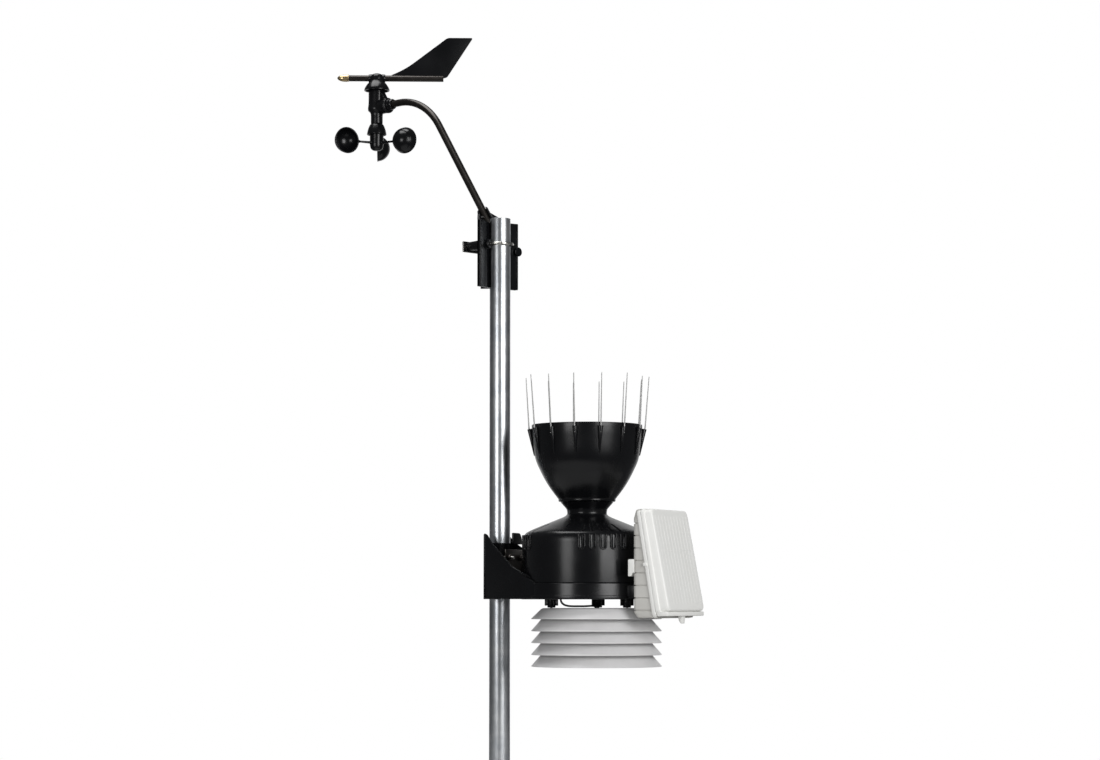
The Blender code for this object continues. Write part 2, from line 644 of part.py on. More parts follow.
def build_base(station):
    """The tray under the collector, with the walls and the saddle that hold it to the pole."""
    base = turned("station_base", [
        (0, 0.3690), (0.0968, 0.3690), (0.0968, BASE_TOP), (0.0985, BASE_TOP),
        (BASE_RADIUS, BASE_TOP - 0.0006), (BASE_RADIUS, 0.3685), (0.0998, 0.3675), (0.0998, 0.3650),
        (0.0985, BASE_BOTTOM), (0, BASE_BOTTOM + 0.0004),
    ], "black_plastic", station, (COLLECTOR_X, 0, 0), LARGE_STEPS)
    depths = (BRACKET_BACK + 0.0035, 0.0040, 0.0225)
    saddle_low, saddle_half = BASE_BOTTOM + 0.0006, BRACKET_HALF_WIDTH + 0.0012
    saddle = pole_saddle("base_saddle", depths, saddle_low, 0.4505, saddle_half, None, station)
    join(base, saddle, bracket_wall(-1, station), bracket_wall(1, station))
    floor = [(0.012, -0.034), (0.075, -0.060), (0.075, 0.060), (0.012, 0.034)]
    join(base, prism("bracket_floor", floor, BASE_BOTTOM + 0.0008, 0.3672, None, station, along="Z"))
    join(base, block("far_ear", (0.0185, 0.0045, 0.449), (0.0215, 0.0330, 0.4665), None, station))
    cut_pole_way(base, 0.3, 0.5, station)
    for number, y in enumerate((-0.038, 0.038)):
        arm_low = (COLLECTOR_X + 0.088, y - 0.007, 0.3665)
        arm_high = (COLLECTOR_X + BOX_BACK - GAP, y + 0.007, 0.3855)
        join(base, block(f"box_bracket_{number}", arm_low, arm_high, None, station))
    boss_low = LOUVRE_TIPS[0] + LOUVRE_RISE - 0.0022
    for number, degrees in enumerate(SHIELD_ROD_ANGLES):
        x, y = polar(SHIELD_ROD_CIRCLE, degrees)
        x += SHIELD_X
        join(base, rod(f"shield_boss_{number}", (x, y, boss_low), (x, y, 0.372), 0.0066, None, station, 16))
        cut(base, rod(f"shield_thread_{number}", (x, y, 0.34), (x, y, 0.3665), THREAD_BORE, None, station))
    for number, y in enumerate((-U_BOLT_LEG, U_BOLT_LEG)):
        for level in STATION_BOLT_HEIGHTS:
            cut(base, rod(f"base_leg_bore_{number}_{level}", (-0.02, y, level), (0.04, y, level),
                          U_BOLT_RADIUS + 0.001, None, station))
    for number, side in enumerate((-1, 1)):
        x = COLLECTOR_X + side * DRAIN_SPACING
        cut(base, rod(f"drain_hole_{number}", (x, 0, 0.36), (x, 0, 0.375), 0.006, None, station, 16))
    lead_x, lead_y, _ = LEAD_ROUTE[0]
    cut(base, rod("lead_hole", (lead_x, lead_y, 0.36), (lead_x, lead_y, 0.375), 0.0026, None, station))


def build_station_clamps(station):
    """Two U-bolts round the pole, the plate behind the saddle and four nuts."""
    plate_low, plate_high = 0.0228, 0.0250
    plate = block("station_plate", (plate_low, -0.0272, 0.3735), (plate_high, 0.0272, 0.4405), "plated_steel",
                  station)
    round_edges(plate, 0.0006)
    number = 0
    for bolt, level in enumerate(STATION_BOLT_HEIGHTS, 1):
        u_bolt(f"station_u_bolt_{bolt}", level, 0.0345, station)
        for y in (-U_BOLT_LEG, U_BOLT_LEG):
            number += 1
            cut(plate, rod(f"station_plate_hole_{number}", (0.01, y, level), (0.04, y, level), LEG_BORE, None,
                           station))
            nut_low = plate_high + GAP
            hexagon(f"station_nut_{number}", y, level, nut_low, nut_low + NUT_THICKNESS, station)


def build_bucket(collector, bucket):
    """The two-chamber bucket on its axle, resting on one stop, with its frame, screws, switch and screens."""
    half_length, half_width = BUCKET_HALF_LENGTH, BUCKET_HALF_WIDTH
    outline = [(-half_length, 0.015), (0, 0.003), (half_length, 0.015), (half_length, 0.018), (0.010, 0.033)]
    outline += [(0, 0.036), (-0.010, 0.033), (-half_length, 0.018)]
    body = prism("tipping_bucket", outline, -half_width, half_width, "black_plastic", bucket)
    wall = 0.0016
    for side in (-1, 1):
        chamber = [(side * 0.0012, 0.040), (side * 0.0012, 0.0055)]
        chamber += [(side * 0.050, 0.0194), (side * 0.050, 0.040)]
        cut(body, prism(f"chamber_{side}", chamber, wall - half_width, half_width - wall, None, bucket))
    lug_half = half_width - 0.0002
    join(body, block("axle_lug", (-0.0042, -lug_half, -0.0038), (0.0042, lug_half, 0.0056), None, bucket))
    axle_bore = BUCKET_AXLE_RADIUS + GAP
    cut(body, rod("axle_bore", (0, -0.02, 0), (0, 0.02, 0), axle_bore, None, bucket, 16))
    rod("bucket_axle", (0, -0.0225, 0), (0, 0.0225, 0), BUCKET_AXLE_RADIUS, "stainless_steel", bucket, 16)
    magnet_low, magnet_high = half_width + GAP, half_width + 0.003
    rod("bucket_magnet", (0, magnet_low, 0.024), (0, magnet_high, 0.024), 0.003, "magnet_grey", bucket, 16)
    frame_low = 0.3693
    frame = block("bucket_frame", (-0.024, -0.0225, frame_low), (0.024, 0.0225, 0.3718), "black_plastic",
                  collector)
    for side, top in ((-1, 0.3985), (1, 0.4245)):
        low, high = sorted((side * 0.0180, side * 0.0205))
        join(frame, block(f"upright_{side}", (-0.006, low, 0.3705), (0.006, high, top), None, collector))
    cut(frame, rod("frame_axle_bore", (0, -0.03, AXLE_HEIGHT), (0, 0.03, AXLE_HEIGHT), axle_bore, None,
                   collector, 16))
    switch_y, switch_level = 0.0228, AXLE_HEIGHT + 0.024
    rod("bucket_switch", (-0.008, switch_y, switch_level), (0.008, switch_y, switch_level), 0.0018,
        "stainless_steel", collector)
    for number, side in enumerate((-1, 1), 1):
        x = side * 0.037
        screw = rod(f"stop_screw_{number}", (x, 0, frame_low), (x, 0, AXLE_HEIGHT + 0.0035), 0.002,
                    "stainless_steel", collector)
        head_low, head_high = (x, 0, frame_low), (x, 0, 0.3728)
        join(screw, rod(f"stop_screw_head_{number}", head_low, head_high, 0.0042, None, collector))
        turned(f"drain_screen_{number}", [
            (0, 0.3752), (0.0045, 0.3742), (0.0072, 0.3718), (0.0092, 0.3714), (0.0092, frame_low),
            (0, frame_low),
        ], "grey_plastic", collector, (side * DRAIN_SPACING, 0, 0), 16)


def joint_x(height, ahead=0.0):
    """How far the slanted face between box shell and cover lies from the collector's axis at this height."""
    share = (BOX_TOP - height) / (BOX_TOP - BOX_BOTTOM)
    return COLLECTOR_X + JOINT_TOP_X + (JOINT_BOTTOM_X - JOINT_TOP_X) * share + ahead


def build_box(station):
    """The box: a shell with ribbed sides, rim flange, hooks and snap nubs, then its board and battery."""
    back = COLLECTOR_X + BOX_BACK
    low, high = BOX_BOTTOM, BOX_TOP
    half = BOX_HALF_WIDTH - 0.0025
    outline = [(back + 0.006, low), (joint_x(low), low), (joint_x(high), high), (back + 0.004, high)]
    outline += [(back, high - 0.014), (back, low + 0.008)]
    shell = prism("box_shell", outline, -half, half, "white_plastic", station)
    flange = [(joint_x(low, -0.0075), low), (joint_x(low), low), (joint_x(high), high)]
    flange += [(joint_x(high, -0.0065), high)]
    join(shell, prism("rim_flange", flange, -BOX_HALF_WIDTH, BOX_HALF_WIDTH, None, station))
    hollow = [
        (back + BOX_WALL, low + BOX_WALL), (joint_x(low, 0.02), low + BOX_WALL),
        (joint_x(high, 0.02), high - BOX_WALL), (back + BOX_WALL + 0.003, high - BOX_WALL),
        (back + BOX_WALL, high - 0.016),
    ]
    cut(shell, prism("shell_hollow", hollow, BOX_WALL - half, half - BOX_WALL, None, station))
    for number in range(7):
        level = 0.4703 - 0.0182 * number
        for side in (-1, 1):
            near, far = sorted((side * (half - 0.0008), side * (half + 0.0005)))
            groove_low = (back - 0.001, near, level - 0.0006)
            groove_high = (joint_x(level, -0.0085), far, level + 0.0006)
            cut(shell, block(f"side_groove_{number}_{side}", groove_low, groove_high, None, station))
    hook = [(back + 0.002, 0.4235), (back - 0.0065, 0.4235), (back - 0.0078, 0.4222), (back - 0.0078, 0.3985)]
    hook += [(back - 0.0035, 0.3985), (back - 0.0012, 0.4035), (back + 0.002, 0.4035)]
    for side in (-1, 1):
        near, far = sorted((side * (half - 0.0125), side * half))
        join(shell, prism(f"box_hook_{side}", hook, near, far, None, station))
        near, far = sorted((side * 0.0665, side * 0.0690))
        nub_low = (joint_x(0.4165, -0.0075), near, 0.4130)
        nub_high = (joint_x(0.4165, -0.0012), far, 0.4180)
        join(shell, block(f"snap_nub_{side}", nub_low, nub_high, None, station))
    block("circuit_board", (back + 0.0060, -0.050, 0.362), (back + 0.0076, 0.050, 0.478), "circuit_green",
          station)
    battery_x, battery_level = back + 0.0182, 0.3720
    rod("battery", (battery_x, -0.018, battery_level), (battery_x, 0.018, battery_level), 0.0085,
        "grey_plastic", station)


def build_cover(station):
    """The cover's tapered tray, which slides up along the slanted joint face."""
    low, high = BOX_BOTTOM + 0.0045, BOX_TOP
    front_top, front_low = COLLECTOR_X + 0.1370, COLLECTOR_X + 0.1648
    outline = [
        (joint_x(low, GAP), low), (joint_x(low, 0.010), low - 0.0005), (front_low - 0.003, 0.3455),
        (front_low, 0.3500), (front_top + 0.0012, 0.4850), (front_top - 0.0015, 0.4925),
        (front_top - 0.0075, high), (joint_x(high, GAP), high),
    ]
    cover = prism("box_cover", outline, -BOX_HALF_WIDTH, BOX_HALF_WIDTH, "white_plastic", station)
    wall = BOX_WALL
    hollow = [
        (joint_x(low, -0.01), low + wall), (joint_x(low, 0.010), low + wall - 0.0005),
        (front_low - 0.0042, 0.3487), (front_low - wall, 0.3520), (front_top - wall, 0.4840),
        (front_top - 0.0075 - wall, high - wall), (joint_x(high, -0.01), high - wall),
    ]
    cut(cover, prism("cover_hollow", hollow, wall - BOX_HALF_WIDTH, BOX_HALF_WIDTH - wall, None, station))
    tab = [(front_low - 0.0115, 0.3470), (front_low - 0.0050, 0.3475), (front_low - 0.0062, 0.3290)]
    tab += [(front_low - 0.0085, 0.3290), (front_low - 0.0120, 0.3350)]
    join(cover, prism("cover_tab", tab, -0.0055, 0.0055, None, station))


def louvre(tip, inner):
    """The closed profile of one cone-edged shield plate, open in its middle unless inner is 0."""
    flat = tip + LOUVRE_RISE - (0.0030 if inner == 0 else 0.0)
    shoulder = 0.082
    return [
        (inner, flat), (shoulder, flat), (SHIELD_RADIUS, tip + 0.0007), (SHIELD_RADIUS - 0.0014, tip),
        (shoulder - 0.0010, flat - PLATE_THICKNESS), (inner, flat - PLATE_THICKNESS),
    ]


def build_shield(shield):
    """The cap and four louvre plates on three long screws, with the air sensor inside."""
    plates = [turned("shield_cap", louvre(LOUVRE_TIPS[0], 0.0), "grey_plastic", shield, steps=LARGE_STEPS)]
    for number, tip in enumerate(LOUVRE_TIPS[1:], 1):
        plates.append(turned(f"shield_plate_{number}", louvre(tip, 0.040), "grey_plastic", shield,
                             steps=LARGE_STEPS, closed=True))
    head_top = LOUVRE_TIPS[-1] + LOUVRE_RISE - PLATE_THICKNESS - GAP
    for number, degrees in enumerate(SHIELD_ROD_ANGLES, 1):
        x, y = polar(SHIELD_ROD_CIRCLE, degrees)
        for plate in plates:
            hole = f"{plate.name}_hole_{number}"
            cut(plate, rod(hole, (x, y, 0.25), (x, y, 0.36), THREAD_BORE, None, shield, 10))
        screw = rod(f"shield_screw_{number}", (x, y, head_top - 0.001), (x, y, 0.3655), 0.0018,
                    "stainless_steel", shield, 10)
        join(screw, rod(f"screw_head_{number}", (x, y, head_top - 0.0042), (x, y, head_top), 0.0045, None,
                        shield, 6))
    cut(plates[0], rod("cap_lead_hole", (0, 0, 0.34), (0, 0, 0.36), 0.0044, None, shield))
    turned("air_sensor", [
        (0, 0.3458), (0.009, 0.3458), (0.011, 0.3438), (0.011, 0.322), (0.0075, 0.320), (0.0075, 0.299),
        (0.006, 0.2965), (0, 0.2965),
    ], "white_plastic", shield, steps=20)


def shield_spot(across, depth, height):
    """A point given from the shield's axis across and into the room, in the station's axes."""
    turn = math.radians(-STATION_YAW)
    x = across * math.cos(turn) - depth * math.sin(turn)
    y = across * math.sin(turn) + depth * math.cos(turn)
    return SHIELD_X + x, y, height


# The sensor's short lead: out of the tray's floor, over the cap and down into the shield
LEAD_ROUTE = [
    shield_spot(-0.054, -0.034, 0.3735),
    shield_spot(-0.054, -0.034, 0.3650),
    shield_spot(-0.0525, -0.0338, 0.3600),
    shield_spot(-0.0485, -0.0332, 0.3565),
    shield_spot(-0.0425, -0.0325, 0.3548),
    shield_spot(-0.0350, -0.0312, 0.3543),
    shield_spot(-0.0270, -0.0290, 0.3543),
    shield_spot(-0.0190, -0.0245, 0.3543),
    shield_spot(-0.0125, -0.0175, 0.3546),
    shield_spot(-0.0070, -0.0100, 0.3549),
    shield_spot(-0.0032, -0.0045, 0.3543),
    shield_spot(-0.0008, -0.0012, 0.3518),
    shield_spot(0.0, 0.0, 0.3490),
    shield_spot(0.0, 0.0, 0.3462),
]


def build_lead(station):
    smooth_curve("sensor_lead", LEAD_ROUTE, 0.0015, "lead_black", station)


def shade_rounds():
    for obj in STATION.objects:
        if obj.type == "MESH":
            obj.data.shade_smooth()
            obj.data.set_sharp_from_angle(angle=math.radians(35))


def build():
    build_pole()
    clamp = frame_at("clamp_axes", yaw=ARM_YAW)
    build_clamp(clamp)
    build_arm(clamp)
    head_x, head_y = polar(HEAD_DISTANCE, ARM_YAW)
    build_head(frame_at("head_axes", (head_x, head_y, 0), ARM_YAW))
    build_vane(frame_at("vane_axis", (head_x, head_y, 0), VANE_YAW))
    build_rotor(frame_at("rotor_axis", (head_x, head_y, 0)))
    station = frame_at("station_axes", yaw=STATION_YAW)
    build_base(station)
    build_station_clamps(station)
    collector = frame_at("collector_axis", (COLLECTOR_X, 0, 0), parent=station)
    build_collector(collector)
    bucket = frame_at("bucket_axis", (0, 0, AXLE_HEIGHT), parent=collector)
    bucket.rotation_euler = (0, math.radians(-BUCKET_TILT), 0)
    build_bucket(collector, bucket)
    build_box(station)
    build_cover(station)
    build_shield(frame_at("shield_axis", (SHIELD_X, 0, 0), parent=station))
    build_lead(station)
    shade_rounds()


build()
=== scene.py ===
import json
import math

import bmesh
import bpy
from mathutils import Matrix, Vector


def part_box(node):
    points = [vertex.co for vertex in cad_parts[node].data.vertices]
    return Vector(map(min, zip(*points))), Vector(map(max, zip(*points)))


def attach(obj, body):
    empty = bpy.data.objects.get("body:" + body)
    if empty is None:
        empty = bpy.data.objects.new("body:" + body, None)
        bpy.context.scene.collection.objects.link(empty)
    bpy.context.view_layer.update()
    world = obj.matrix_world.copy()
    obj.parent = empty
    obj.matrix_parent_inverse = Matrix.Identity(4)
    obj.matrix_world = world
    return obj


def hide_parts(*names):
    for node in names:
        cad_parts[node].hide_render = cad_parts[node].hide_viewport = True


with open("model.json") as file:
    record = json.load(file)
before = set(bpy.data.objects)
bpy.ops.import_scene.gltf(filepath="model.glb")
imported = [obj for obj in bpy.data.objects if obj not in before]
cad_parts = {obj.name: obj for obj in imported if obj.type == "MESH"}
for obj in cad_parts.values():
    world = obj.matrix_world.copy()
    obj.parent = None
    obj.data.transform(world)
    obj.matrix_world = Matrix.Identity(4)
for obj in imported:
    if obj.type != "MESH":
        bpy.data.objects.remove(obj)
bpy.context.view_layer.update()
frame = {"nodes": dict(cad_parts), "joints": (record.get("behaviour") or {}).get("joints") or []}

# The places that everything is set out from, read from the frame
jointOf = {joint["name"]: joint for joint in frame["joints"]}
headX, headY, vaneLevel = jointOf["vane_turn"]["pos_m"]
cupLevel = jointOf["cup_spin"]["pos_m"][2]
collectorX, collectorY, axleLevel = jointOf["bucket_tip"]["pos_m"]
stationTurn = math.atan2(collectorY, collectorX)
armTurn = math.atan2(headY, headX)
noseLow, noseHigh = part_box("vane_nose")
noseMiddle = (noseLow + noseHigh) / 2
vaneTurn = math.atan2(headY - noseMiddle.y, headX - noseMiddle.x)
collectorAway = math.hypot(collectorX, collectorY)
headAway = math.hypot(headX, headY)

clampAt = Matrix.Rotation(armTurn, 4, "Z")
headAt = Matrix.Translation((headX, headY, 0)) @ Matrix.Rotation(armTurn, 4, "Z")
vaneAt = Matrix.Translation((headX, headY, 0)) @ Matrix.Rotation(vaneTurn, 4, "Z")
rotorAt = Matrix.Translation((headX, headY, 0))
stationAt = Matrix.Rotation(stationTurn, 4, "Z")
collectorAt = Matrix.Translation((collectorX, collectorY, 0)) @ Matrix.Rotation(stationTurn, 4, "Z")

gap = 0.0003  # clearance between pieces that meet
poleRadius = 0.016


def addNode(tree, kind, inputs=None, **settings):
    node = tree.nodes.new(kind)
    for name, value in settings.items():
        setattr(node, name, value)
    for name, value in (inputs or {}).items():
        if isinstance(value, bpy.types.NodeSocket):
            tree.links.new(value, node.inputs[name])
        else:
            node.inputs[name].default_value = value
    return node


def newGroup(name, inputs, outputs):
    tree = bpy.data.node_groups.new(name, "ShaderNodeTree")
    for label, kind, value in inputs:
        tree.interface.new_socket(label, in_out="INPUT", socket_type=kind).default_value = value
    for label, kind in outputs:
        tree.interface.new_socket(label, in_out="OUTPUT", socket_type=kind)
    return tree, tree.nodes.new("NodeGroupInput").outputs, tree.nodes.new("NodeGroupOutput")


def makeGrainGroup():
    # moulded or cast skin: a fine height and a slow mottle from 0 to 1
    tree, given, out = newGroup(
        "mouldedSkin",
        [("Vector", "NodeSocketVector", (0, 0, 0)), ("Fine", "NodeSocketFloat", 900.0),
         ("Broad", "NodeSocketFloat", 18.0)],
        [("Height", "NodeSocketFloat"), ("Mottle", "NodeSocketFloat")],
    )
    fine = addNode(tree, "ShaderNodeTexNoise",
                   {"Vector": given["Vector"], "Scale": given["Fine"], "Detail": 3.0})
    broad = addNode(tree, "ShaderNodeTexNoise",
                    {"Vector": given["Vector"], "Scale": given["Broad"], "Detail": 4.0})
    spread = addNode(tree, "ShaderNodeMapRange",
                     {"Value": broad.outputs["Fac"], "From Min": 0.35, "From Max": 0.65})
    tree.links.new(fine.outputs["Fac"], out.inputs["Height"])
    tree.links.new(spread.outputs["Result"], out.inputs["Mottle"])
    return tree


def makeStreakGroup():
    # drawing and handling marks: noise pulled out along one axis, and sparse fine scratches
    tree, given, out = newGroup(
        "drawnStreaks",
        [("Vector", "NodeSocketVector", (0, 0, 0)), ("Stretch", "NodeSocketVector", (90.0, 90.0, 2.0))],
        [("Streak", "NodeSocketFloat"), ("Scratches", "NodeSocketFloat")],
    )
    pulled = addNode(tree, "ShaderNodeVectorMath", {0: given["Vector"], 1: given["Stretch"]},
                     operation="MULTIPLY")
    streak = addNode(tree, "ShaderNodeTexNoise", {"Vector": pulled.outputs[0], "Scale": 1.0, "Detail": 5.0,
                                                  "Roughness": 0.6})
    spread = addNode(tree, "ShaderNodeMapRange",
                     {"Value": streak.outputs["Fac"], "From Min": 0.3, "From Max": 0.7})
    fine = addNode(tree, "ShaderNodeTexNoise", {"Vector": pulled.outputs[0], "Scale": 7.0, "Detail": 2.0,
                                                "Distortion": 1.2})
    cut = addNode(tree, "ShaderNodeMapRange",
                  {"Value": fine.outputs["Fac"], "From Min": 0.62, "From Max": 0.72})
    tree.links.new(spread.outputs["Result"], out.inputs["Streak"])
    tree.links.new(cut.outputs["Result"], out.inputs["Scratches"])
    return tree


def makeDustGroup():
    # outdoor dust: settles on faces that look up and in slow patches
    tree, given, out = newGroup(
        "settledDust",
        [("Vector", "NodeSocketVector", (0, 0, 0)), ("Amount", "NodeSocketFloat", 0.3),
         ("Scale", "NodeSocketFloat", 40.0)],
        [("Mask", "NodeSocketFloat")],
    )
    normal = addNode(tree, "ShaderNodeNewGeometry").outputs["Normal"]
    facing = addNode(tree, "ShaderNodeSeparateXYZ", {"Vector": normal})
    upward = addNode(tree, "ShaderNodeMapRange",
                     {"Value": facing.outputs["Z"], "From Min": 0.2, "From Max": 1.0})
    patches = addNode(tree, "ShaderNodeTexNoise",
                      {"Vector": given["Vector"], "Scale": given["Scale"], "Detail": 6.0})
    spread = addNode(tree, "ShaderNodeMapRange",
                     {"Value": patches.outputs["Fac"], "From Min": 0.4, "From Max": 0.75})
    both = addNode(tree, "ShaderNodeMath", {0: upward.outputs["Result"], 1: spread.outputs["Result"]},
                   operation="MULTIPLY")
    scaled = addNode(tree, "ShaderNodeMath", {0: both.outputs[0], 1: given["Amount"]}, operation="MULTIPLY")
    tree.links.new(scaled.outputs[0], out.inputs["Mask"])
    return tree


print("materials")
mouldedSkin = makeGrainGroup()
drawnStreaks = makeStreakGroup()
settledDust = makeDustGroup()


def startMaterial(name):
    material = bpy.data.materials.new(name)
    material.use_nodes = True
    tree = material.node_tree
    shader = tree.nodes["Principled BSDF"]
    where = addNode(tree, "ShaderNodeTexCoord").outputs["Object"]
    return material, tree, shader, where


def placeGroup(tree, group, inputs):
    return addNode(tree, "ShaderNodeGroup", inputs, node_tree=group)


def blendColours(tree, share, first, second):
    mix = addNode(tree, "ShaderNodeMix", {"Factor": share}, data_type="RGBA")
    for name, value in (("A", first), ("B", second)):
        socket = [entry for entry in mix.inputs if entry.name == name and entry.type == "RGBA"][0]
        if isinstance(value, bpy.types.NodeSocket):
            tree.links.new(value, socket)
        else:
            socket.default_value = (*value, 1.0)
    return [entry for entry in mix.outputs if entry.type == "RGBA"][0]


def spreadValue(tree, value, low, high):
    return addNode(tree, "ShaderNodeMapRange",
                   {"Value": value, "To Min": low, "To Max": high}).outputs["Result"]


def mouldedPlastic(name, look):
    material, tree, shader, where = startMaterial(name)
    skin = placeGroup(tree, mouldedSkin, {"Vector": where, "Fine": look["fine"], "Broad": look["broad"]})
    dust = placeGroup(tree, settledDust, {"Vector": where, "Amount": look["dust"], "Scale": 60.0})
    base = blendColours(tree, skin.outputs["Mottle"], look["colour"], look["second"])
    dusty = blendColours(tree, dust.outputs["Mask"], base, look["dustColour"])
    tree.links.new(dusty, shader.inputs["Base Color"])
    rough = spreadValue(tree, skin.outputs["Mottle"], look["roughness"] - 0.04, look["roughness"] + 0.05)
    tree.links.new(rough, shader.inputs["Roughness"])
    shader.inputs["Specular IOR Level"].default_value = look.get("specular", 0.5)
    bump = addNode(tree, "ShaderNodeBump", {"Height": skin.outputs["Height"], "Strength": look["bump"],
                                            "Distance": 0.0002})
    tree.links.new(bump.outputs["Normal"], shader.inputs["Normal"])
    return material


def drawnMetal(name, look):
    material, tree, shader, where = startMaterial(name)
    marks = placeGroup(tree, drawnStreaks, {"Vector": where, "Stretch": look["stretch"]})
    skin = placeGroup(tree, mouldedSkin, {"Vector": where, "Fine": look["fine"], "Broad": look["broad"]})
    base = blendColours(tree, marks.outputs["Streak"], look["colour"], look["second"])
    patched = blendColours(tree, spreadValue(tree, skin.outputs["Mottle"], 0.0, look["patches"]), base,
                           look["patch"])
    tree.links.new(patched, shader.inputs["Base Color"])
    shader.inputs["Metallic"].default_value = look["metallic"]
    worn = addNode(tree, "ShaderNodeMath", {0: marks.outputs["Streak"], 1: marks.outputs["Scratches"]},
                   operation="MAXIMUM")
    rough = spreadValue(tree, worn.outputs[0], look["roughness"] - 0.06, look["roughness"] + 0.08)
    tree.links.new(rough, shader.inputs["Roughness"])
    bump = addNode(tree, "ShaderNodeBump", {"Height": marks.outputs["Streak"], "Strength": look["bump"],
                                            "Distance": 0.0002})
    tree.links.new(bump.outputs["Normal"], shader.inputs["Normal"])
    return material


plasticLooks = {
    "black_plastic": {"colour": (0.0028, 0.0030, 0.0036), "second": (0.0042, 0.0044, 0.0052), "fine": 1400.0,
                      "broad": 14.0, "roughness": 0.25, "bump": 0.05, "dust": 0.05, "specular": 0.33,
                      "dustColour": (0.05, 0.049, 0.047)},
    "white_plastic": {"colour": (0.80, 0.80, 0.775), "second": (0.77, 0.768, 0.74), "fine": 1100.0,
                      "broad": 22.0, "roughness": 0.42, "bump": 0.10, "dust": 0.12,
                      "dustColour": (0.52, 0.50, 0.46)},
    "grey_plastic": {"colour": (0.64, 0.635, 0.635), "second": (0.60, 0.595, 0.595), "fine": 1200.0,
                     "broad": 30.0, "roughness": 0.38, "bump": 0.10, "dust": 0.10,
                     "dustColour": (0.45, 0.44, 0.42)},
    "lead_black": {"colour": (0.010, 0.010, 0.010), "second": (0.016, 0.016, 0.016), "fine": 2200.0,
                   "broad": 60.0, "roughness": 0.45, "bump": 0.15, "dust": 0.12,
                   "dustColour": (0.09, 0.088, 0.085)},
}
# painted shade: the shell's white is darker than the cover's to stand for the shade on the box's side wall
# beside the collector
plasticLooks["shellWhite"] = {**plasticLooks["white_plastic"], "colour": (0.55, 0.54, 0.51),
                              "second": (0.51, 0.50, 0.47)}
metalLooks = {
    "galvanised_steel": {"colour": (0.58, 0.60, 0.62), "second": (0.74, 0.75, 0.76),
                         "patch": (0.36, 0.39, 0.43),
                         "patches": 0.55, "metallic": 1.0, "stretch": (260.0, 260.0, 3.0), "fine": 600.0,
                         "broad": 46.0, "roughness": 0.33, "bump": 0.12},
    "plated_steel": {"colour": (0.66, 0.65, 0.62), "second": (0.78, 0.77, 0.74), "patch": (0.48, 0.44, 0.38),
                     "patches": 0.35, "metallic": 1.0, "stretch": (500.0, 500.0, 60.0), "fine": 900.0,
                     "broad": 120.0, "roughness": 0.24, "bump": 0.12},
    "stainless_steel": {"colour": (0.56, 0.555, 0.55), "second": (0.68, 0.675, 0.67),
                        "patch": (0.45, 0.44, 0.43),
                        "patches": 0.2, "metallic": 1.0, "stretch": (700.0, 700.0, 30.0), "fine": 900.0,
                        "broad": 90.0, "roughness": 0.26, "bump": 0.10},
    "brass": {"colour": (0.56, 0.42, 0.22), "second": (0.68, 0.54, 0.32), "patch": (0.34, 0.25, 0.15),
              "patches": 0.4, "metallic": 1.0, "stretch": (60.0, 700.0, 700.0), "fine": 900.0,
              "broad": 160.0, "roughness": 0.28, "bump": 0.12},
    "black_anodised": {"colour": (0.030, 0.027, 0.025), "second": (0.040, 0.036, 0.033),
                       "patch": (0.052, 0.046, 0.041), "patches": 0.3, "metallic": 0.8,
                       "stretch": (90.0, 90.0, 12.0), "fine": 900.0, "broad": 30.0, "roughness": 0.30,
                       "bump": 0.03},
    "magnet_grey": {"colour": (0.16, 0.16, 0.165), "second": (0.24, 0.24, 0.25), "patch": (0.30, 0.29, 0.28),
                    "patches": 0.3, "metallic": 0.8, "stretch": (300.0, 300.0, 300.0), "fine": 700.0,
                    "broad": 120.0, "roughness": 0.42, "bump": 0.15},
}


def circuitBoardLook(name):
    # solder mask over copper runs: bands of stepped noise on the board's own plane
    material, tree, shader, where = startMaterial(name)
    cells = addNode(tree, "ShaderNodeTexVoronoi", {"Vector": where, "Scale": 260.0}, distance="MANHATTAN",
                    feature="DISTANCE_TO_EDGE")
    runs = addNode(tree, "ShaderNodeMapRange", {"Value": cells.outputs["Distance"], "From Min": 0.06,
                                                "From Max": 0.09})
    colour = blendColours(tree, runs.outputs["Result"], (0.035, 0.20, 0.09), (0.012, 0.085, 0.035))
    tree.links.new(colour, shader.inputs["Base Color"])
    shader.inputs["Roughness"].default_value = 0.3
    bump = addNode(tree, "ShaderNodeBump",
                   {"Height": runs.outputs["Result"], "Strength": 0.3, "Distance": 0.0001})
    tree.links.new(bump.outputs["Normal"], shader.inputs["Normal"])
    return material


metalLooks["spikeSteel"] = {**metalLooks["stainless_steel"], "colour": (0.34, 0.34, 0.335),
                            "second": (0.42, 0.415, 0.41), "patch": (0.28, 0.28, 0.275), "roughness": 0.42,
                            "metallic": 0.6}
# painted shade: plated steel darkened to stand for the shade inside the bracket's hollow, where the station
# plate and nuts sit
metalLooks["dullPlate"] = {**metalLooks["plated_steel"], "colour": (0.13, 0.12, 0.11),
                           "second": (0.20, 0.185, 0.17),
                           "patch": (0.09, 0.08, 0.07), "roughness": 0.42}
finish = {name: mouldedPlastic(name, look) for name, look in plasticLooks.items()}
finish.update({name: drawnMetal(name, look) for name, look in metalLooks.items()})
finish["circuit_green"] = circuitBoardLook("circuit_green")


# A corner is (across, up) or (across, up, how far back its round starts)
def filleted(corners, closed=True, steps=4):
    rounded = []
    count = len(corners)
    for index, corner in enumerate(corners):
        spot = Vector(corner[:2])
        reach = corner[2] if len(corner) > 2 else 0.0
        if reach == 0.0 or (not closed and index in (0, count - 1)):
            rounded.append(tuple(spot))
            continue
        before = Vector(corners[index - 1][:2]) - spot
        after = Vector(corners[(index + 1) % count][:2]) - spot
        start = spot + before.normalized() * min(reach, before.length * 0.48)
        end = spot + after.normalized() * min(reach, after.length * 0.48)
        for step in range(steps + 1):
            share = step / steps
            rounded.append(tuple(start.lerp(spot, share).lerp(spot.lerp(end, share), share)))
    return rounded


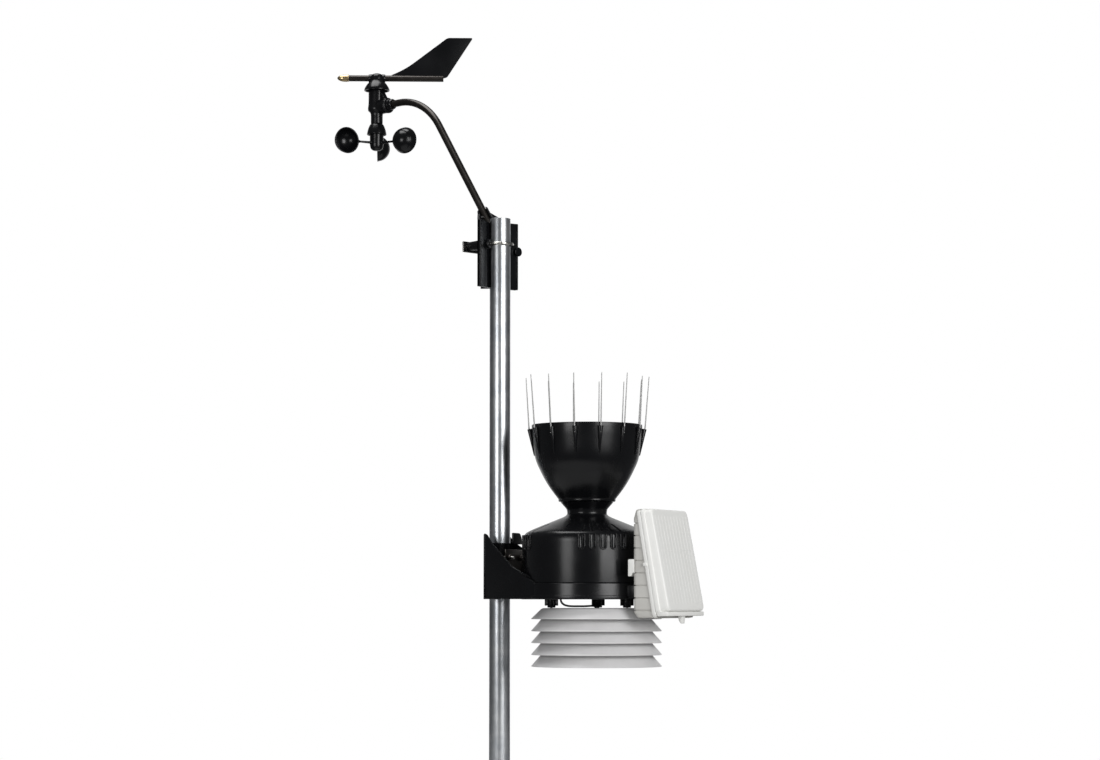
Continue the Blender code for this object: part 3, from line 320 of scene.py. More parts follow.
def flowing(points, steps=5):
    # a smooth line through the points, flat or solid
    line = []
    padded = [points[0], *points, points[-1]]
    for first, second, third, fourth in zip(padded, padded[1:], padded[2:], padded[3:]):
        a, b, c, d = (Vector(point) for point in (first, second, third, fourth))
        for step in range(steps):
            t = step / steps
            spot = 0.5 * (2 * b + (c - a) * t + (2 * a - 5 * b + 4 * c - d) * t * t
                          + (3 * b - a - 3 * c + d) * t ** 3)
            line.append(tuple(spot))
    line.append(tuple(points[-1]))
    return line


def pointOut(bm):
    bmesh.ops.remove_doubles(bm, verts=bm.verts, dist=0.000002)
    bmesh.ops.dissolve_degenerate(bm, dist=0.0000005, edges=bm.edges)
    bmesh.ops.recalc_face_normals(bm, faces=bm.faces)


def spunShape(profile, steps=96, closed=True):
    bm = bmesh.new()
    corners = [bm.verts.new((across, 0, up)) for across, up in profile]
    edges = [bm.edges.new(pair) for pair in zip(corners, corners[1:])]
    if closed:
        edges.append(bm.edges.new((corners[-1], corners[0])))
    bmesh.ops.spin(bm, geom=corners + edges, cent=(0, 0, 0), axis=(0, 0, 1), angle=math.tau, steps=steps,
                   use_merge=True)
    pointOut(bm)
    return bm


def bevelSharp(bm, width, segments=3, angle=30.0):
    bm.normal_update()
    sharp = [edge for edge in bm.edges
             if len(edge.link_faces) == 2 and edge.calc_face_angle(0.0) > math.radians(angle)]
    bmesh.ops.bevel(bm, geom=sharp, offset=width, offset_type="OFFSET", segments=segments, profile=0.5,
                    affect="EDGES", clamp_overlap=True, material=-1)


def pushedShape(outline, low, high, along="Y", width=0.0):
    # a flat outline pushed along one axis, with its edges rounded
    bm = bmesh.new()
    for first, second in outline:
        bm.verts.new({"X": (low, first, second), "Y": (first, low, second), "Z": (first, second, low)}[along])
    bmesh.ops.contextual_create(bm, geom=bm.verts[:])
    pushed = bmesh.ops.extrude_face_region(bm, geom=bm.faces[:])["geom"]
    push = {"X": (high - low, 0, 0), "Y": (0, high - low, 0), "Z": (0, 0, high - low)}[along]
    bmesh.ops.translate(bm, verts=[item for item in pushed if isinstance(item, bmesh.types.BMVert)], vec=push)
    pointOut(bm)
    if width:
        bevelSharp(bm, width)
    return bm


def boxShape(low, high, width=0.0):
    bm = bmesh.new()
    bmesh.ops.create_cube(bm, size=1.0)
    bmesh.ops.scale(bm, vec=[b - a for a, b in zip(low, high)], verts=bm.verts)
    bmesh.ops.translate(bm, vec=[(a + b) / 2 for a, b in zip(low, high)], verts=bm.verts)
    if width:
        bevelSharp(bm, width)
    return bm


def rodShape(start, end, radius, endRadius=None, sides=32, width=0.0):
    start, end = Vector(start), Vector(end)
    bm = bmesh.new()
    bmesh.ops.create_cone(bm, cap_ends=True, segments=sides, radius1=radius,
                          radius2=radius if endRadius is None else endRadius, depth=(end - start).length)
    turn = (end - start).to_track_quat("Z", "Y").to_matrix().to_4x4()
    bmesh.ops.transform(bm, matrix=Matrix.Translation((start + end) / 2) @ turn, verts=bm.verts)
    if width:
        bevelSharp(bm, width, 2, 60.0)
    return bm


def placed(bm, matrix):
    bmesh.ops.transform(bm, matrix=matrix, verts=bm.verts)
    return bm


def turned(bm, angle):
    # turned about the upright axis
    bmesh.ops.rotate(bm, cent=(0, 0, 0), matrix=Matrix.Rotation(angle, 3, "Z"), verts=bm.verts)
    return bm


def joined(*shapes):
    # several bodies in one piece
    whole = bmesh.new()
    for shape in shapes:
        mesh = bpy.data.meshes.new("part")
        shape.to_mesh(mesh)
        shape.free()
        whole.from_mesh(mesh)
        bpy.data.meshes.remove(mesh)
    return whole


def tubeShape(start, heading, radius, sides, moves):
    # a round bar from its first ring: straight runs, bends about an axis, and threaded runs
    bm = bmesh.new()
    ring = bmesh.ops.create_circle(bm, cap_ends=False, radius=radius, segments=sides)["verts"]
    turn = Vector(heading).to_track_quat("Z", "Y").to_matrix().to_4x4()
    bmesh.ops.transform(bm, matrix=Matrix.Translation(start) @ turn, verts=ring)
    edges = bm.edges[:]
    for kind, *how in moves:
        if kind == "bend":
            centre, axis, angle, steps = how
            made = bmesh.ops.spin(bm, geom=edges, cent=centre, axis=axis, angle=angle, steps=steps,
                                  use_merge=False)["geom_last"]
            edges = [item for item in made if isinstance(item, bmesh.types.BMEdge)]
            continue
        push, turns, depth = (how[0], 1, 0.0) if kind == "run" else how
        for number in range(turns):
            made = bmesh.ops.extrude_edge_only(bm, edges=edges)["geom"]
            verts = [item for item in made if isinstance(item, bmesh.types.BMVert)]
            edges = [item for item in made
                     if isinstance(item, bmesh.types.BMEdge) and set(item.verts) <= set(verts)]
            bmesh.ops.translate(bm, verts=verts, vec=Vector(push) / turns)
            if depth:
                middle = sum((vert.co for vert in verts), Vector()) / len(verts)
                share = 1 - depth / radius if number % 2 == 0 else 1 / (1 - depth / radius)
                bmesh.ops.scale(bm, vec=(share,) * 3, space=Matrix.Translation(-middle), verts=verts)
    bmesh.ops.holes_fill(bm, edges=bm.edges)
    pointOut(bm)
    return bm


def roundedLoop(bm, halfWide, halfTall, corner, place, steps=5):
    spots = []
    for across, up, start in ((1, 1, 0), (-1, 1, 90), (-1, -1, 180), (1, -1, 270)):
        for step in range(steps + 1):
            turn = math.radians(start + 90 * step / steps)
            spots.append((across * (halfWide - corner) + corner * math.cos(turn),
                          up * (halfTall - corner) + corner * math.sin(turn), 0))
    corners = [bm.verts.new(place @ Vector(spot)) for spot in spots]
    return [bm.edges.new((first, second)) for first, second in zip(corners, corners[1:] + corners[:1])]


def addPiece(name, bm, body, slot, stands=(), at=None, sharp=35.0, look=None):
    if at is not None:
        placed(bm, at)
    mesh = bpy.data.meshes.new(name)
    bm.to_mesh(mesh)
    bm.free()
    mesh.shade_smooth()
    mesh.set_sharp_from_angle(angle=math.radians(sharp))
    obj = bpy.data.objects.new(name, mesh)
    bpy.context.scene.collection.objects.link(obj)
    mesh.materials.append(finish[look or slot])
    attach(obj, body)
    if stands:
        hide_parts(*stands)
    return obj


def softenEdges(obj, width, angle):
    edges = obj.modifiers.new("edges", "BEVEL")
    edges.width = width
    edges.segments = 2
    edges.limit_method = "ANGLE"
    edges.angle_limit = math.radians(angle)


def thicken(obj, thickness):
    wall = obj.modifiers.new("wall", "SOLIDIFY")
    wall.thickness = thickness
    wall.offset = -1.0  # all of it inward


def softCopy(node, width, slot, body="mast"):
    # a CAD piece whose shape is right, with its edges rounded
    bm = bmesh.new()
    bm.from_mesh(frame["nodes"][node].data)
    bmesh.ops.remove_doubles(bm, verts=bm.verts, dist=0.000002)
    bmesh.ops.dissolve_limit(bm, angle_limit=math.radians(0.6), verts=bm.verts, edges=bm.edges)
    softenEdges(addPiece(node + "_soft", bm, body, slot, (node,)), width, 40.0)


def carve(bm, cutters):
    # takes the cutters out of a shape and gives the shape that is left
    for shape in (bm, *cutters):
        bmesh.ops.recalc_face_normals(shape, faces=shape.faces)
    mesh = bpy.data.meshes.new("stock")
    bm.to_mesh(mesh)
    bm.free()
    stock = bpy.data.objects.new("stock", mesh)
    bpy.context.scene.collection.objects.link(stock)
    toolMesh = bpy.data.meshes.new("tools")
    tools = joined(*cutters)
    tools.to_mesh(toolMesh)
    tools.free()
    tool = bpy.data.objects.new("tools", toolMesh)
    bpy.context.scene.collection.objects.link(tool)
    taken = stock.modifiers.new("cut", "BOOLEAN")
    taken.operation = "DIFFERENCE"
    taken.object = tool
    bpy.context.view_layer.update()
    left = bpy.data.meshes.new_from_object(stock.evaluated_get(bpy.context.evaluated_depsgraph_get()))
    result = bmesh.new()
    result.from_mesh(left)
    bpy.data.objects.remove(stock)
    bpy.data.objects.remove(tool)
    return result


print("mast")
mast = {"wall": 0.0016, "edge": 0.0004, "steps": 96}


def makeMast():
    low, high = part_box("mast_pole")
    inner = poleRadius - mast["wall"]
    edge = mast["edge"]
    profile = filleted([(inner, high.z, edge), (poleRadius, high.z, edge), (poleRadius, low.z, edge),
                        (inner, low.z, edge)])
    addPiece("mastTube", spunShape(profile, mast["steps"]), "mast", "galvanised_steel", ("mast_pole",))


makeMast()

print("wind arm and its clamp")
# lengths along the arm are measured up its slope from its foot, where the clamp's block ends
arm = {"radius": 0.00565, "slope": math.radians(55.5), "foot": (0.0245, 0, 0.948), "bend": 0.1146,
       "top": 1.166,
       "sides": 40, "sunk": 0.009, "end": headAway - 0.0135}
bolt = {"radius": 0.0025, "across": 0.0085, "nut": 0.0043, "pitch": 0.0008, "thread": 0.00022,
        "threaded": 0.016}
boltLeg = poleRadius + gap + bolt["radius"]
clamp = {"low": 0.845, "high": 0.949, "half": 0.041, "bolt": 0.9125, "bossEnd": 0.0505, "legEnd": 0.0625,
         "round": 0.0009, "socket": 0.0092, "channelHalf": 0.0060, "open": Vector((-0.707, 0.707, 0.0))}


def armPoint(distance):
    x, _, z = arm["foot"]
    return Vector((x + distance * math.cos(arm["slope"]), 0, z + distance * math.sin(arm["slope"])))


def makeWindArm():
    footX, _, footZ = arm["foot"]
    slope, bend, top = arm["slope"], arm["bend"], arm["top"]
    cornerX = footX + (top - footZ) / math.tan(slope)
    back = bend * math.tan(slope / 2)
    straight = math.hypot(top - footZ, cornerX - footX) - back
    heading = Vector((math.cos(slope), 0, math.sin(slope)))
    centre = (cornerX + back, 0, top - bend)
    # its foot is sunk in the clamp's channel
    tube = tubeShape(armPoint(-arm["sunk"]), heading, arm["radius"], arm["sides"], [
        ("run", heading * (straight + arm["sunk"])),
        ("bend", centre, (0, 1, 0), slope, 32),
        ("run", (arm["end"] - cornerX - back, 0, 0)),
    ])
    addPiece("windArm", tube, "mast", "black_anodised", ("anemometer_arm",), clampAt, 50.0)


def saddleOutline(front, wing, depth, half):
    # a hat-shaped block round the back of the pole, seen from above
    way = poleRadius + gap
    opening = math.acos(front / way)
    arc = []
    for step in range(25):
        turn = -opening + 2 * opening * step / 24
        arc.append((way * math.cos(turn), way * math.sin(turn)))
    return [(front, -half), *arc, (front, half), (wing, half), (wing, 0.027), (depth, 0.013), (depth, -0.013),
            (wing, -0.027), (wing, -half)]


def armChannel():
    # the channel that the arm lies in, open on one side
    along = (armPoint(1) - armPoint(0)).normalized()
    out = (clamp["open"] - clamp["open"].dot(along) * along).normalized()
    turn = Matrix((out.cross(along), out, along)).transposed().to_4x4()
    half = clamp["channelHalf"]
    return placed(boxShape((-half, 0, -0.031), (half, 0.032, 0.031)),
                  Matrix.Translation(armPoint(0.020)) @ turn)


def armPlate():
    # the plate behind the arm, which leans as the arm does
    half, foot = clamp["half"], clamp["high"] - 0.004
    outline = [(0.0184, foot), (0.0150, 0.955), (0.0055, 0.9685), (0.0, 0.9745), (-0.0093, 0.974),
               (-0.0397, 0.9586), (-half, 0.953), (-half, foot)]
    plate = pushedShape(outline, 0.0030, 0.0070, "X", clamp["round"])
    footX, _, footZ = arm["foot"]
    for vert in plate.verts:
        vert.co.x += footX + (vert.co.z - footZ) / math.tan(arm["slope"])
    return plate


def makeClamp():
    low, high, half, level = clamp["low"], clamp["high"], clamp["half"], clamp["bolt"]
    block = carve(pushedShape(saddleOutline(0.003, 0.008, 0.030, half), low, high, "Z"), [armChannel()])
    bevelSharp(block, clamp["round"])
    socket = rodShape(armPoint(-0.006), armPoint(0.027), clamp["socket"], None, 48, 0.0008)
    parts = [block, carve(armPlate(), [armChannel()]), carve(socket, [armChannel()])]
    for side in (-1, 1):
        y = side * boltLeg
        parts.append(rodShape((0.006, y, level), (clamp["bossEnd"], y, level), 0.0082, 0.0068, 48, 0.0006))
        # a raised edge down each wing and a pad round the bolt's leg
        near, far = sorted((side * (half - 0.0025), side * half))
        parts.append(boxShape((0.0018, near, low + 0.0006), (0.0060, far, high - 0.0006), 0.0007))
        pad = rodShape((0.0018, y, level), (0.0045, y, level), 0.0074, None, 40, 0.0006)
        parts.append(carve(pad, [rodShape((-0.01, y, level), (0.02, y, level), bolt["radius"] + gap, None,
                                          32)]))
    # the round end of the cross screw on the outer wing
    parts.append(rodShape((-0.001, -0.0395, 0.9048), (0.0115, -0.0395, 0.9048), 0.0072, 0.0064, 40, 0.0008))
    addPiece("clampBase", joined(*parts), "mast", "black_plastic", ("arm_clamp_base",), clampAt)


def uBolt(name, level, legEnd, node, at):
    threaded = bolt["threaded"]
    turns = int(threaded / bolt["pitch"]) * 2
    plain = legEnd - threaded
    tube = tubeShape((legEnd, -boltLeg, level), (-1, 0, 0), bolt["radius"], 28, [
        ("thread", (-threaded, 0, 0), turns, bolt["thread"]),
        ("run", (-plain, 0, 0)),
        ("bend", (0, 0, level), (0, 0, 1), -math.pi, 40),
        ("run", (plain, 0, 0)),
        ("thread", (threaded, 0, 0), turns, bolt["thread"]),
    ])
    addPiece(name, tube, "mast", "plated_steel", (node,), at, 60.0)


def boltPlate(name, low, high, legs, node, at, look=None):
    stock = boxShape(low, high, 0.0006)
    holes = [rodShape((low[0] - 0.01, y, z), (high[0] + 0.01, y, z), bolt["radius"] + gap) for y, z in legs]
    addPiece(name, carve(stock, holes), "mast", "plated_steel", (node,), at, look=look)


def boltNut(name, x, y, z, node, at, look=None):
    # a chamfered hexagon on a thin washer face, round its leg
    corner = bolt["across"] / math.sqrt(3)
    faceEnd = x + 0.0004
    nut = rodShape((faceEnd, y, z), (x + bolt["nut"], y, z), corner, None, 6)
    bmesh.ops.rotate(nut, cent=(x, y, z), matrix=Matrix.Rotation(math.radians(30), 3, "X"), verts=nut.verts)
    bevelSharp(nut, 0.0004, 2, 50.0)
    face = rodShape((x, y, z), (faceEnd + 0.0001, y, z), bolt["across"] / 2, None, 40)
    bore = [rodShape((x - 0.01, y, z), (x + 0.02, y, z), bolt["radius"] + gap)]
    addPiece(name, carve(joined(nut, face), bore), "mast", "plated_steel", (node,), at, look=look)


def makeLockScrew():
    spot = armPoint(0.012)
    top = 0.0124
    body = rodShape((spot.x, 0.0062, spot.z), (spot.x, 0.0098, spot.z), 0.0016, None, 24)
    head = rodShape((spot.x, 0.0096, spot.z), (spot.x, top, spot.z), 0.0034, None, 40, 0.0007)
    cross = []
    for turn in (0.4, 0.4 + math.pi / 2):
        place = Matrix.Translation((spot.x, top, spot.z)) @ Matrix.Rotation(turn, 4, "Y")
        cross.append(placed(boxShape((-0.0024, -0.0009, -0.0004), (0.0024, 0.0009, 0.0004)), place))
    addPiece("lockScrew", joined(body, carve(head, cross)), "mast", "stainless_steel", ("arm_lock_screw",),
             clampAt)


makeWindArm()
makeClamp()
uBolt("clampBolt", clamp["bolt"], clamp["legEnd"], "clamp_u_bolt", clampAt)
plateLow = clamp["bossEnd"] + gap
plateHigh = clamp["bossEnd"] + 0.0023
boltPlate("clampPlate", (plateLow, -0.031, clamp["bolt"] - 0.0095),
          (plateHigh, 0.031, clamp["bolt"] + 0.0075),
          [(side * boltLeg, clamp["bolt"]) for side in (-1, 1)], "clamp_plate", clampAt)
for number, side in enumerate((-1, 1), 1):
    boltNut(f"clampNut{number}", plateHigh + gap, side * boltLeg, clamp["bolt"], f"clamp_nut_{number}",
            clampAt)
makeLockScrew()

print("wind head and vane")
head = {"steps": 96, "boss": 0.0122, "bossLevel": arm["top"] - 0.0006, "bossEnd": -0.0302, "spindle": 0.002}
vane = {"tube": 0.005, "bore": 0.0038, "tubeBack": -0.0458, "tubeFront": 0.1085, "half": 0.0011}


def makeHead():
    profile = filleted([
        (0.0045, 1.1995), (0.0105, 1.1995, 0.0008), (0.0128, 1.1965, 0.002), (0.0134, 1.190, 0.003),
        (0.0136, 1.172, 0.003), (0.0146, 1.163, 0.0015), (0.0142, 1.1598, 0.0012), (0.0104, 1.1565, 0.0015),
        (0.0097, 1.152, 0.002), (0.0097, 1.139, 0.0005), (0.0092, 1.138, 0.0005), (0.0076, 1.138, 0.0003),
        (0.0076, 1.154, 0.002), (0.0108, 1.1585, 0.002), (0.0108, 1.196), (0.0045, 1.197),
    ])
    level, end = head["bossLevel"], head["bossEnd"]
    parts = [spunShape(profile, head["steps"])]
    boss = rodShape((-0.0118, 0, level), (end, 0, level), head["boss"], head["boss"] - 0.0004, 64, 0.0011)
    rim = rodShape((end + 0.0052, 0, level), (end + 0.0016, 0, level), head["boss"] + 0.0004, None, 64,
                   0.0005)
    for body in (boss, rim):
        way = rodShape((-0.0129, 0, arm["top"]), (-0.04, 0, arm["top"]), arm["radius"] + gap, None, 48)
        parts.append(carve(body, [way]))
    # the slanted web between the barrel and the boss
    web = [(-0.0112, 1.1945), (-0.0128, 1.1925), (-0.0232, 1.1768), (-0.0232, 1.1715), (-0.0112, 1.1715)]
    parts.append(pushedShape(web, -0.0046, 0.0046, "Y", 0.0007))
    for turn in (30, 150, 210, 330):
        rib = boxShape((0.0124, -0.0008, 1.1655), (0.0142, 0.0008, 1.1905), 0.0004)
        parts.append(turned(rib, math.radians(turn)))
    addPiece("headHousing", joined(*parts), "mast", "black_plastic", ("head_housing",), headAt)


def makeArmCollar():
    bore, wide = arm["radius"] + gap, 0.0086
    profile = filleted([(bore, 0.0107), (0.0074, 0.0107, 0.0006), (wide, 0.0085, 0.0008),
                        (wide, 0.0035, 0.0004),
                        (0.0094, 0.003, 0.0004), (0.0094, gap), (bore, gap)])
    turn = Matrix.Rotation(math.radians(-90), 4, "Y")
    place = headAt @ Matrix.Translation((head["bossEnd"], 0, arm["top"])) @ turn
    addPiece("armCollar", spunShape(profile, 72), "mast", "black_plastic", ("arm_collar",), place)


def makeHeadWorks():
    # what sits inside the head: the vane's sensor, the rotor's bearing and its switch
    bore = head["spindle"] + gap
    sensor = filleted([(bore, 1.1865), (0.0098, 1.1865, 0.0006), (0.0098, 1.1795, 0.0006), (bore, 1.1795)])
    addPiece("directionSensor", spunShape(sensor, 64), "mast", "magnet_grey", ("direction_sensor",), headAt)
    bearing = filleted([(bore, 1.1515), (0.0073, 1.1515, 0.0004), (0.0073, 1.1465, 0.0004), (bore, 1.1465)])
    addPiece("rotorBearing", spunShape(bearing, 64), "mast", "stainless_steel", ("rotor_bearing",), headAt)
    switch = rodShape((0.0052, 0, 1.1395), (0.0052, 0, 1.146), 0.0014, None, 24, 0.0004)
    addPiece("speedSwitch", switch, "mast", "stainless_steel", ("speed_switch",), headAt)


def finOutline():
    # the tail fin, with its leading edge swept down into the tube
    foot = vaneLevel + 0.0008
    outline = filleted([(0.1088, foot, 0.001), (0.1144, vaneLevel + 0.0022, 0.003), (0.1556, 1.2796, 0.0012),
                        (0.1548, 1.2813, 0.0008), (0.1166, 1.2813, 0.003), (0.1128, 1.2796, 0.003)],
                       closed=False)
    sweep = [Vector((0.0605, 1.2398)), Vector((0.0445, 1.2275)), Vector((0.0225, vaneLevel + 0.0052))]
    for step in range(17):
        t = step / 16
        spot = sweep[0] * (1 - t) ** 2 + sweep[1] * 2 * t * (1 - t) + sweep[2] * t ** 2
        outline.append((spot.x, spot.y))
    outline.append((0.0225, foot))
    return outline


def vaneWay(start, end):
    # the bore that the vane's tube passes through
    return rodShape((start, 0, vaneLevel), (end, 0, vaneLevel), vane["tube"] + gap, None, 48)


def makeVaneCap():
    cap = filleted([
        (0, 1.2218), (0.005, 1.2213, 0.002), (0.0092, 1.2193, 0.002), (0.0113, 1.2158, 0.002),
        (0.0117, 1.2092, 0.002), (0.0135, 1.2065, 0.002), (0.0175, 1.2015, 0.003), (0.0205, 1.1962, 0.003),
        (0.0207, 1.193, 0.0004), (0.0186, 1.193, 0.0004), (0.0165, 1.1985, 0.003), (0.0118, 1.204, 0.001),
        (0, 1.204),
    ], closed=False)
    parts = [carve(spunShape(cap, head["steps"], closed=False), [vaneWay(-0.03, 0.03)])]
    for side in (-1, 1):
        # the moulded saddles that hold the tube on each side of the cap
        saddle = rodShape((side * 0.0082, 0, vaneLevel), (side * 0.0136, 0, vaneLevel), vane["tube"] + 0.0019,
                          vane["tube"] + 0.0013, 48, 0.0005)
        parts.append(carve(saddle, [vaneWay(side * 0.002, side * 0.02)]))
    addPiece("vaneCap", joined(*parts), "vane", "black_plastic", ("vane_cap",), vaneAt)


def makeVaneTube():
    back, front, outer, inner = vane["tubeBack"], vane["tubeFront"], vane["tube"], vane["bore"]
    ring = filleted([(inner, back, 0.0003), (outer, back, 0.0003), (outer, front, 0.0003),
                     (inner, front, 0.0003)])
    place = Matrix.Translation((0, 0, vaneLevel)) @ Matrix.Rotation(math.pi / 2, 4, "Y")
    half = vane["half"] + gap
    slot = boxShape((0.0219, -half, vaneLevel), (0.12, half, vaneLevel + 0.01))
    tube = carve(placed(spunShape(ring, 56), place), [slot])
    addPiece("vaneTube", tube, "vane", "black_anodised", ("vane_tube",), vaneAt)


def makeVaneNose():
    point = flowing([(0, 0.0186), (0.0014, 0.0181), (0.0031, 0.0163), (0.0046, 0.0132), (0.0055, 0.0095),
                     (0.0058, 0.0055)])
    # a turned groove near its foot
    foot = filleted([(0.0058, 0.0055), (0.0058, 0.0022, 0.0002), (0.0054, 0.0019, 0.0002),
                     (0.0054, 0.0011, 0.0002),
                     (0.0058, 0.0008, 0.0002), (0.0058, 0.0, 0.0003), (0, 0.0)], closed=False)
    turn = Matrix.Rotation(-math.pi / 2, 4, "Y")
    place = vaneAt @ Matrix.Translation((vane["tubeBack"] - gap, 0, vaneLevel)) @ turn
    nose = spunShape(point + foot[1:], 64, closed=False)
    addPiece("vaneNose", nose, "vane", "brass", ("vane_nose",), place)


makeHead()
makeArmCollar()
makeHeadWorks()
makeVaneCap()
makeVaneTube()
fin = pushedShape(finOutline(), -vane["half"], vane["half"], "Y", 0.0005)
addPiece("vaneFin", fin, "vane", "black_plastic", ("vane_fin",), vaneAt, 25.0)
makeVaneNose()
spindle = rodShape((0, 0, 1.1815), (0, 0, 1.206), head["spindle"], None, 32, 0.0003)
addPiece("vaneSpindle", spindle, "vane", "stainless_steel", ("vane_spindle",), vaneAt)

print("cup rotor")
cup = {"radius": 0.0208, "wall": 0.0013, "circle": 0.054, "first": 92.5, "steps": 64}  # first is in degrees


def polar(radius, degrees, height=None):
    turn = math.radians(degrees)
    spot = (radius * math.cos(turn), radius * math.sin(turn))
    return spot if height is None else (*spot, height)


def makeRotor():
    hub = filleted([
        (0, 1.0995), (0.0023, 1.0995), (0.0023, 1.1178), (0.0085, 1.1178), (0.0085, 1.1376),
        (0.0102, 1.1376, 0.0005),
        (0.0118, 1.1355, 0.001), (0.0145, 1.129, 0.003), (0.016, 1.1212, 0.0005), (0.0156, 1.1202, 0.0004),
        (0.0138, 1.1202, 0.0004), (0.0112, 1.1235, 0.001), (0.0112, 1.103, 0.003), (0.0098, 1.0975, 0.002),
        (0.006, 1.0945, 0.002), (0, 1.0938),
    ], closed=False)
    parts = [spunShape(hub, 88, closed=False)]
    for number in range(3):
        # a low boss where each cup's arm leaves the hub
        degrees = cup["first"] + 120 * number
        parts.append(rodShape(polar(0.0098, degrees, cupLevel), polar(0.0124, degrees, cupLevel), 0.0034,
                              0.0029,
                              32, 0.0005))
    addPiece("rotorHub", joined(*parts), "cup_rotor", "black_plastic", ("rotor_hub",), rotorAt)
    ring = filleted([(0.005, 1.1222, 0.0004), (0.0082, 1.1222, 0.0004), (0.0082, 1.1182, 0.0004),
                     (0.005, 1.1182, 0.0004)])
    addPiece("rotorMagnet", spunShape(ring, 64), "cup_rotor", "magnet_grey", ("rotor_magnet",), rotorAt)
    spindle = rodShape((0, 0, 1.1), (0, 0, 1.157), head["spindle"], None, 32, 0.0003)
    addPiece("rotorSpindle", spindle, "cup_rotor", "stainless_steel", ("rotor_spindle",), rotorAt)


def cupBowl():
    # a half ball with a thin rim, open upward
    radius, wall, steps = cup["radius"], cup["wall"], 26
    quarter = [step / steps * math.pi / 2 for step in range(steps + 1)]
    outside = [(radius * math.sin(turn), -radius * math.cos(turn)) for turn in quarter[:-1]]
    rim = filleted([outside[-1], (radius, -0.0020, 0.0004), (radius + 0.0006, -0.0014, 0.0003),
                    (radius + 0.0006, 0.0, 0.0004), (radius - wall, 0.0, 0.0004), (radius - wall, -0.001)],
                   closed=False)
    hollow = radius - wall
    inside = [(hollow * math.cos(turn), -hollow * math.sin(turn)) for turn in quarter[2:-1]]
    return spunShape(outside + rim[1:] + inside + [(0, -hollow)], cup["steps"], closed=False)


def makeCup(number):
    degrees = cup["first"] + 120 * (number - 1)
    turn = Matrix.Rotation(math.radians(degrees), 4, "Z")
    place = turn @ Matrix.Translation((cup["circle"], 0, cupLevel)) @ Matrix.Rotation(-math.pi / 2, 4, "X")
    inner = Vector(polar(0.0115, degrees, cupLevel))
    meet = Vector(polar(cup["circle"] - cup["radius"] + 0.0005, degrees, cupLevel))
    meet += Vector(polar(0.0018, degrees - 90, 0))
    stalk = rodShape(inner, meet, 0.0021, 0.0016, 32)
    pad = rodShape(meet - (meet - inner) * 0.16, meet + (meet - inner) * 0.02, 0.0019, 0.0032, 32, 0.0004)
    addPiece(f"windCup{number}", joined(placed(cupBowl(), place), stalk, pad), "cup_rotor", "black_plastic",
             (f"wind_cup_{number}",), rotorAt, 40.0)


makeRotor()
for number in (1, 2, 3):
    makeCup(number)

print("rain collector")
rain = {"rim": 0.6279, "count": 14, "front": -63.0, "spikeCircle": 0.0872, "tip": 0.701,
        "lean": math.radians(4.0), "steps": 168, "wall": 0.0017}
skirt = {"radius": 0.0966, "low": 0.3888, "wall": 0.0021, "pitch": 9.6,
         "groups": (-147.0, -49.4, 49.4, 147.0)}
grip = {"lip": 0.0013, "half": 0.0046, "low": 0.4435, "high": 0.4610, "pocket": 0.0037, "groove": 0.0028}
gripTurns = [group + skirt["pitch"] * step for group in skirt["groups"] for step in range(-2, 3)]
spikeTurns = [rain["front"] + 360 * (number + 0.5) / rain["count"] for number in range(rain["count"])]


def makeBowl():
    curve = flowing([(0.0838, 0.6225), (0.0826, 0.608), (0.0784, 0.578), (0.0704, 0.5584), (0.0625, 0.5432),
                     (0.0548, 0.5311), (0.0470, 0.5207)], 6)
    top = filleted([(0.0825, rain["rim"] - 0.004), (0.0825, rain["rim"], 0.0005),
                    (0.0838, rain["rim"], 0.0006),
                    (0.0838, 0.6225)], closed=False)
    seam = filleted([(0.0470, 0.5207), (0.0432, 0.5157, 0.001), (0.0432, 0.5126, 0.0006),
                     (0.0418, 0.5118, 0.0005),
                     (0.0370, 0.5114, 0.0005), (0.0150, 0.5045, 0.001), (0.0135, 0.496), (0.0115, 0.496),
                     (0.0115, 0.5062, 0.001), (0.0392, 0.5142, 0.002)], closed=False)
    inside = [(across - rain["wall"], up + 0.0008) for across, up in reversed(curve[6:])]
    parts = [spunShape(top + curve[1:] + seam[1:] + inside, rain["steps"])]
    for degrees in spikeTurns:
        # the tapered ribs that carry the spikes
        start, end = polar(0.0796, degrees, 0.5815), polar(0.0867, degrees, 0.622)
        parts.append(rodShape(start, end, 0.0008, 0.0038, 28, 0.0005))
    addPiece("rainBowl", joined(*parts), "collector", "black_plastic", ("rain_bowl",), collectorAt, 40.0)


def makeSpikes():
    foot = 0.612
    reach = (rain["tip"] - foot) * math.tan(rain["lean"])
    parts = []
    for number, degrees in enumerate(spikeTurns):
        wobble = math.sin(2.4 * number)  # no two stand quite alike
        low = Vector(polar(rain["spikeCircle"], degrees, foot))
        far = rain["spikeCircle"] + reach + 0.0012 * wobble
        high = Vector(polar(far, degrees + 0.5 * wobble, rain["tip"] + 0.0012 * wobble))
        neck = low.lerp(high, 0.985)
        parts.append(rodShape(low, neck, 0.00105, 0.00062, 20))
        parts.append(rodShape(neck, high, 0.00062, 0.00022, 20))
    addPiece("birdSpikes", joined(*parts), "collector", "stainless_steel", (), collectorAt, 50.0,
             "spikeSteel")


def makeScreen():
    profile = filleted([(0, 0.6295), (0.0009, 0.6285), (0.0014, 0.545, 0.002), (0.004, 0.539, 0.003),
                        (0.0098, 0.534, 0.002), (0.0111, 0.529, 0.001), (0.0111, 0.5072, 0.0003),
                        (0, 0.5072)],
                       closed=False)
    parts = [spunShape(profile, 56, closed=False)]
    for number in range(16):
        slat = boxShape((0.0106, -0.0006, 0.5105), (0.0118, 0.0006, 0.5275), 0.0002)
        parts.append(turned(slat, math.tau * number / 16))
    addPiece("debrisScreen", joined(*parts), "collector", "black_plastic", ("debris_screen",), collectorAt)


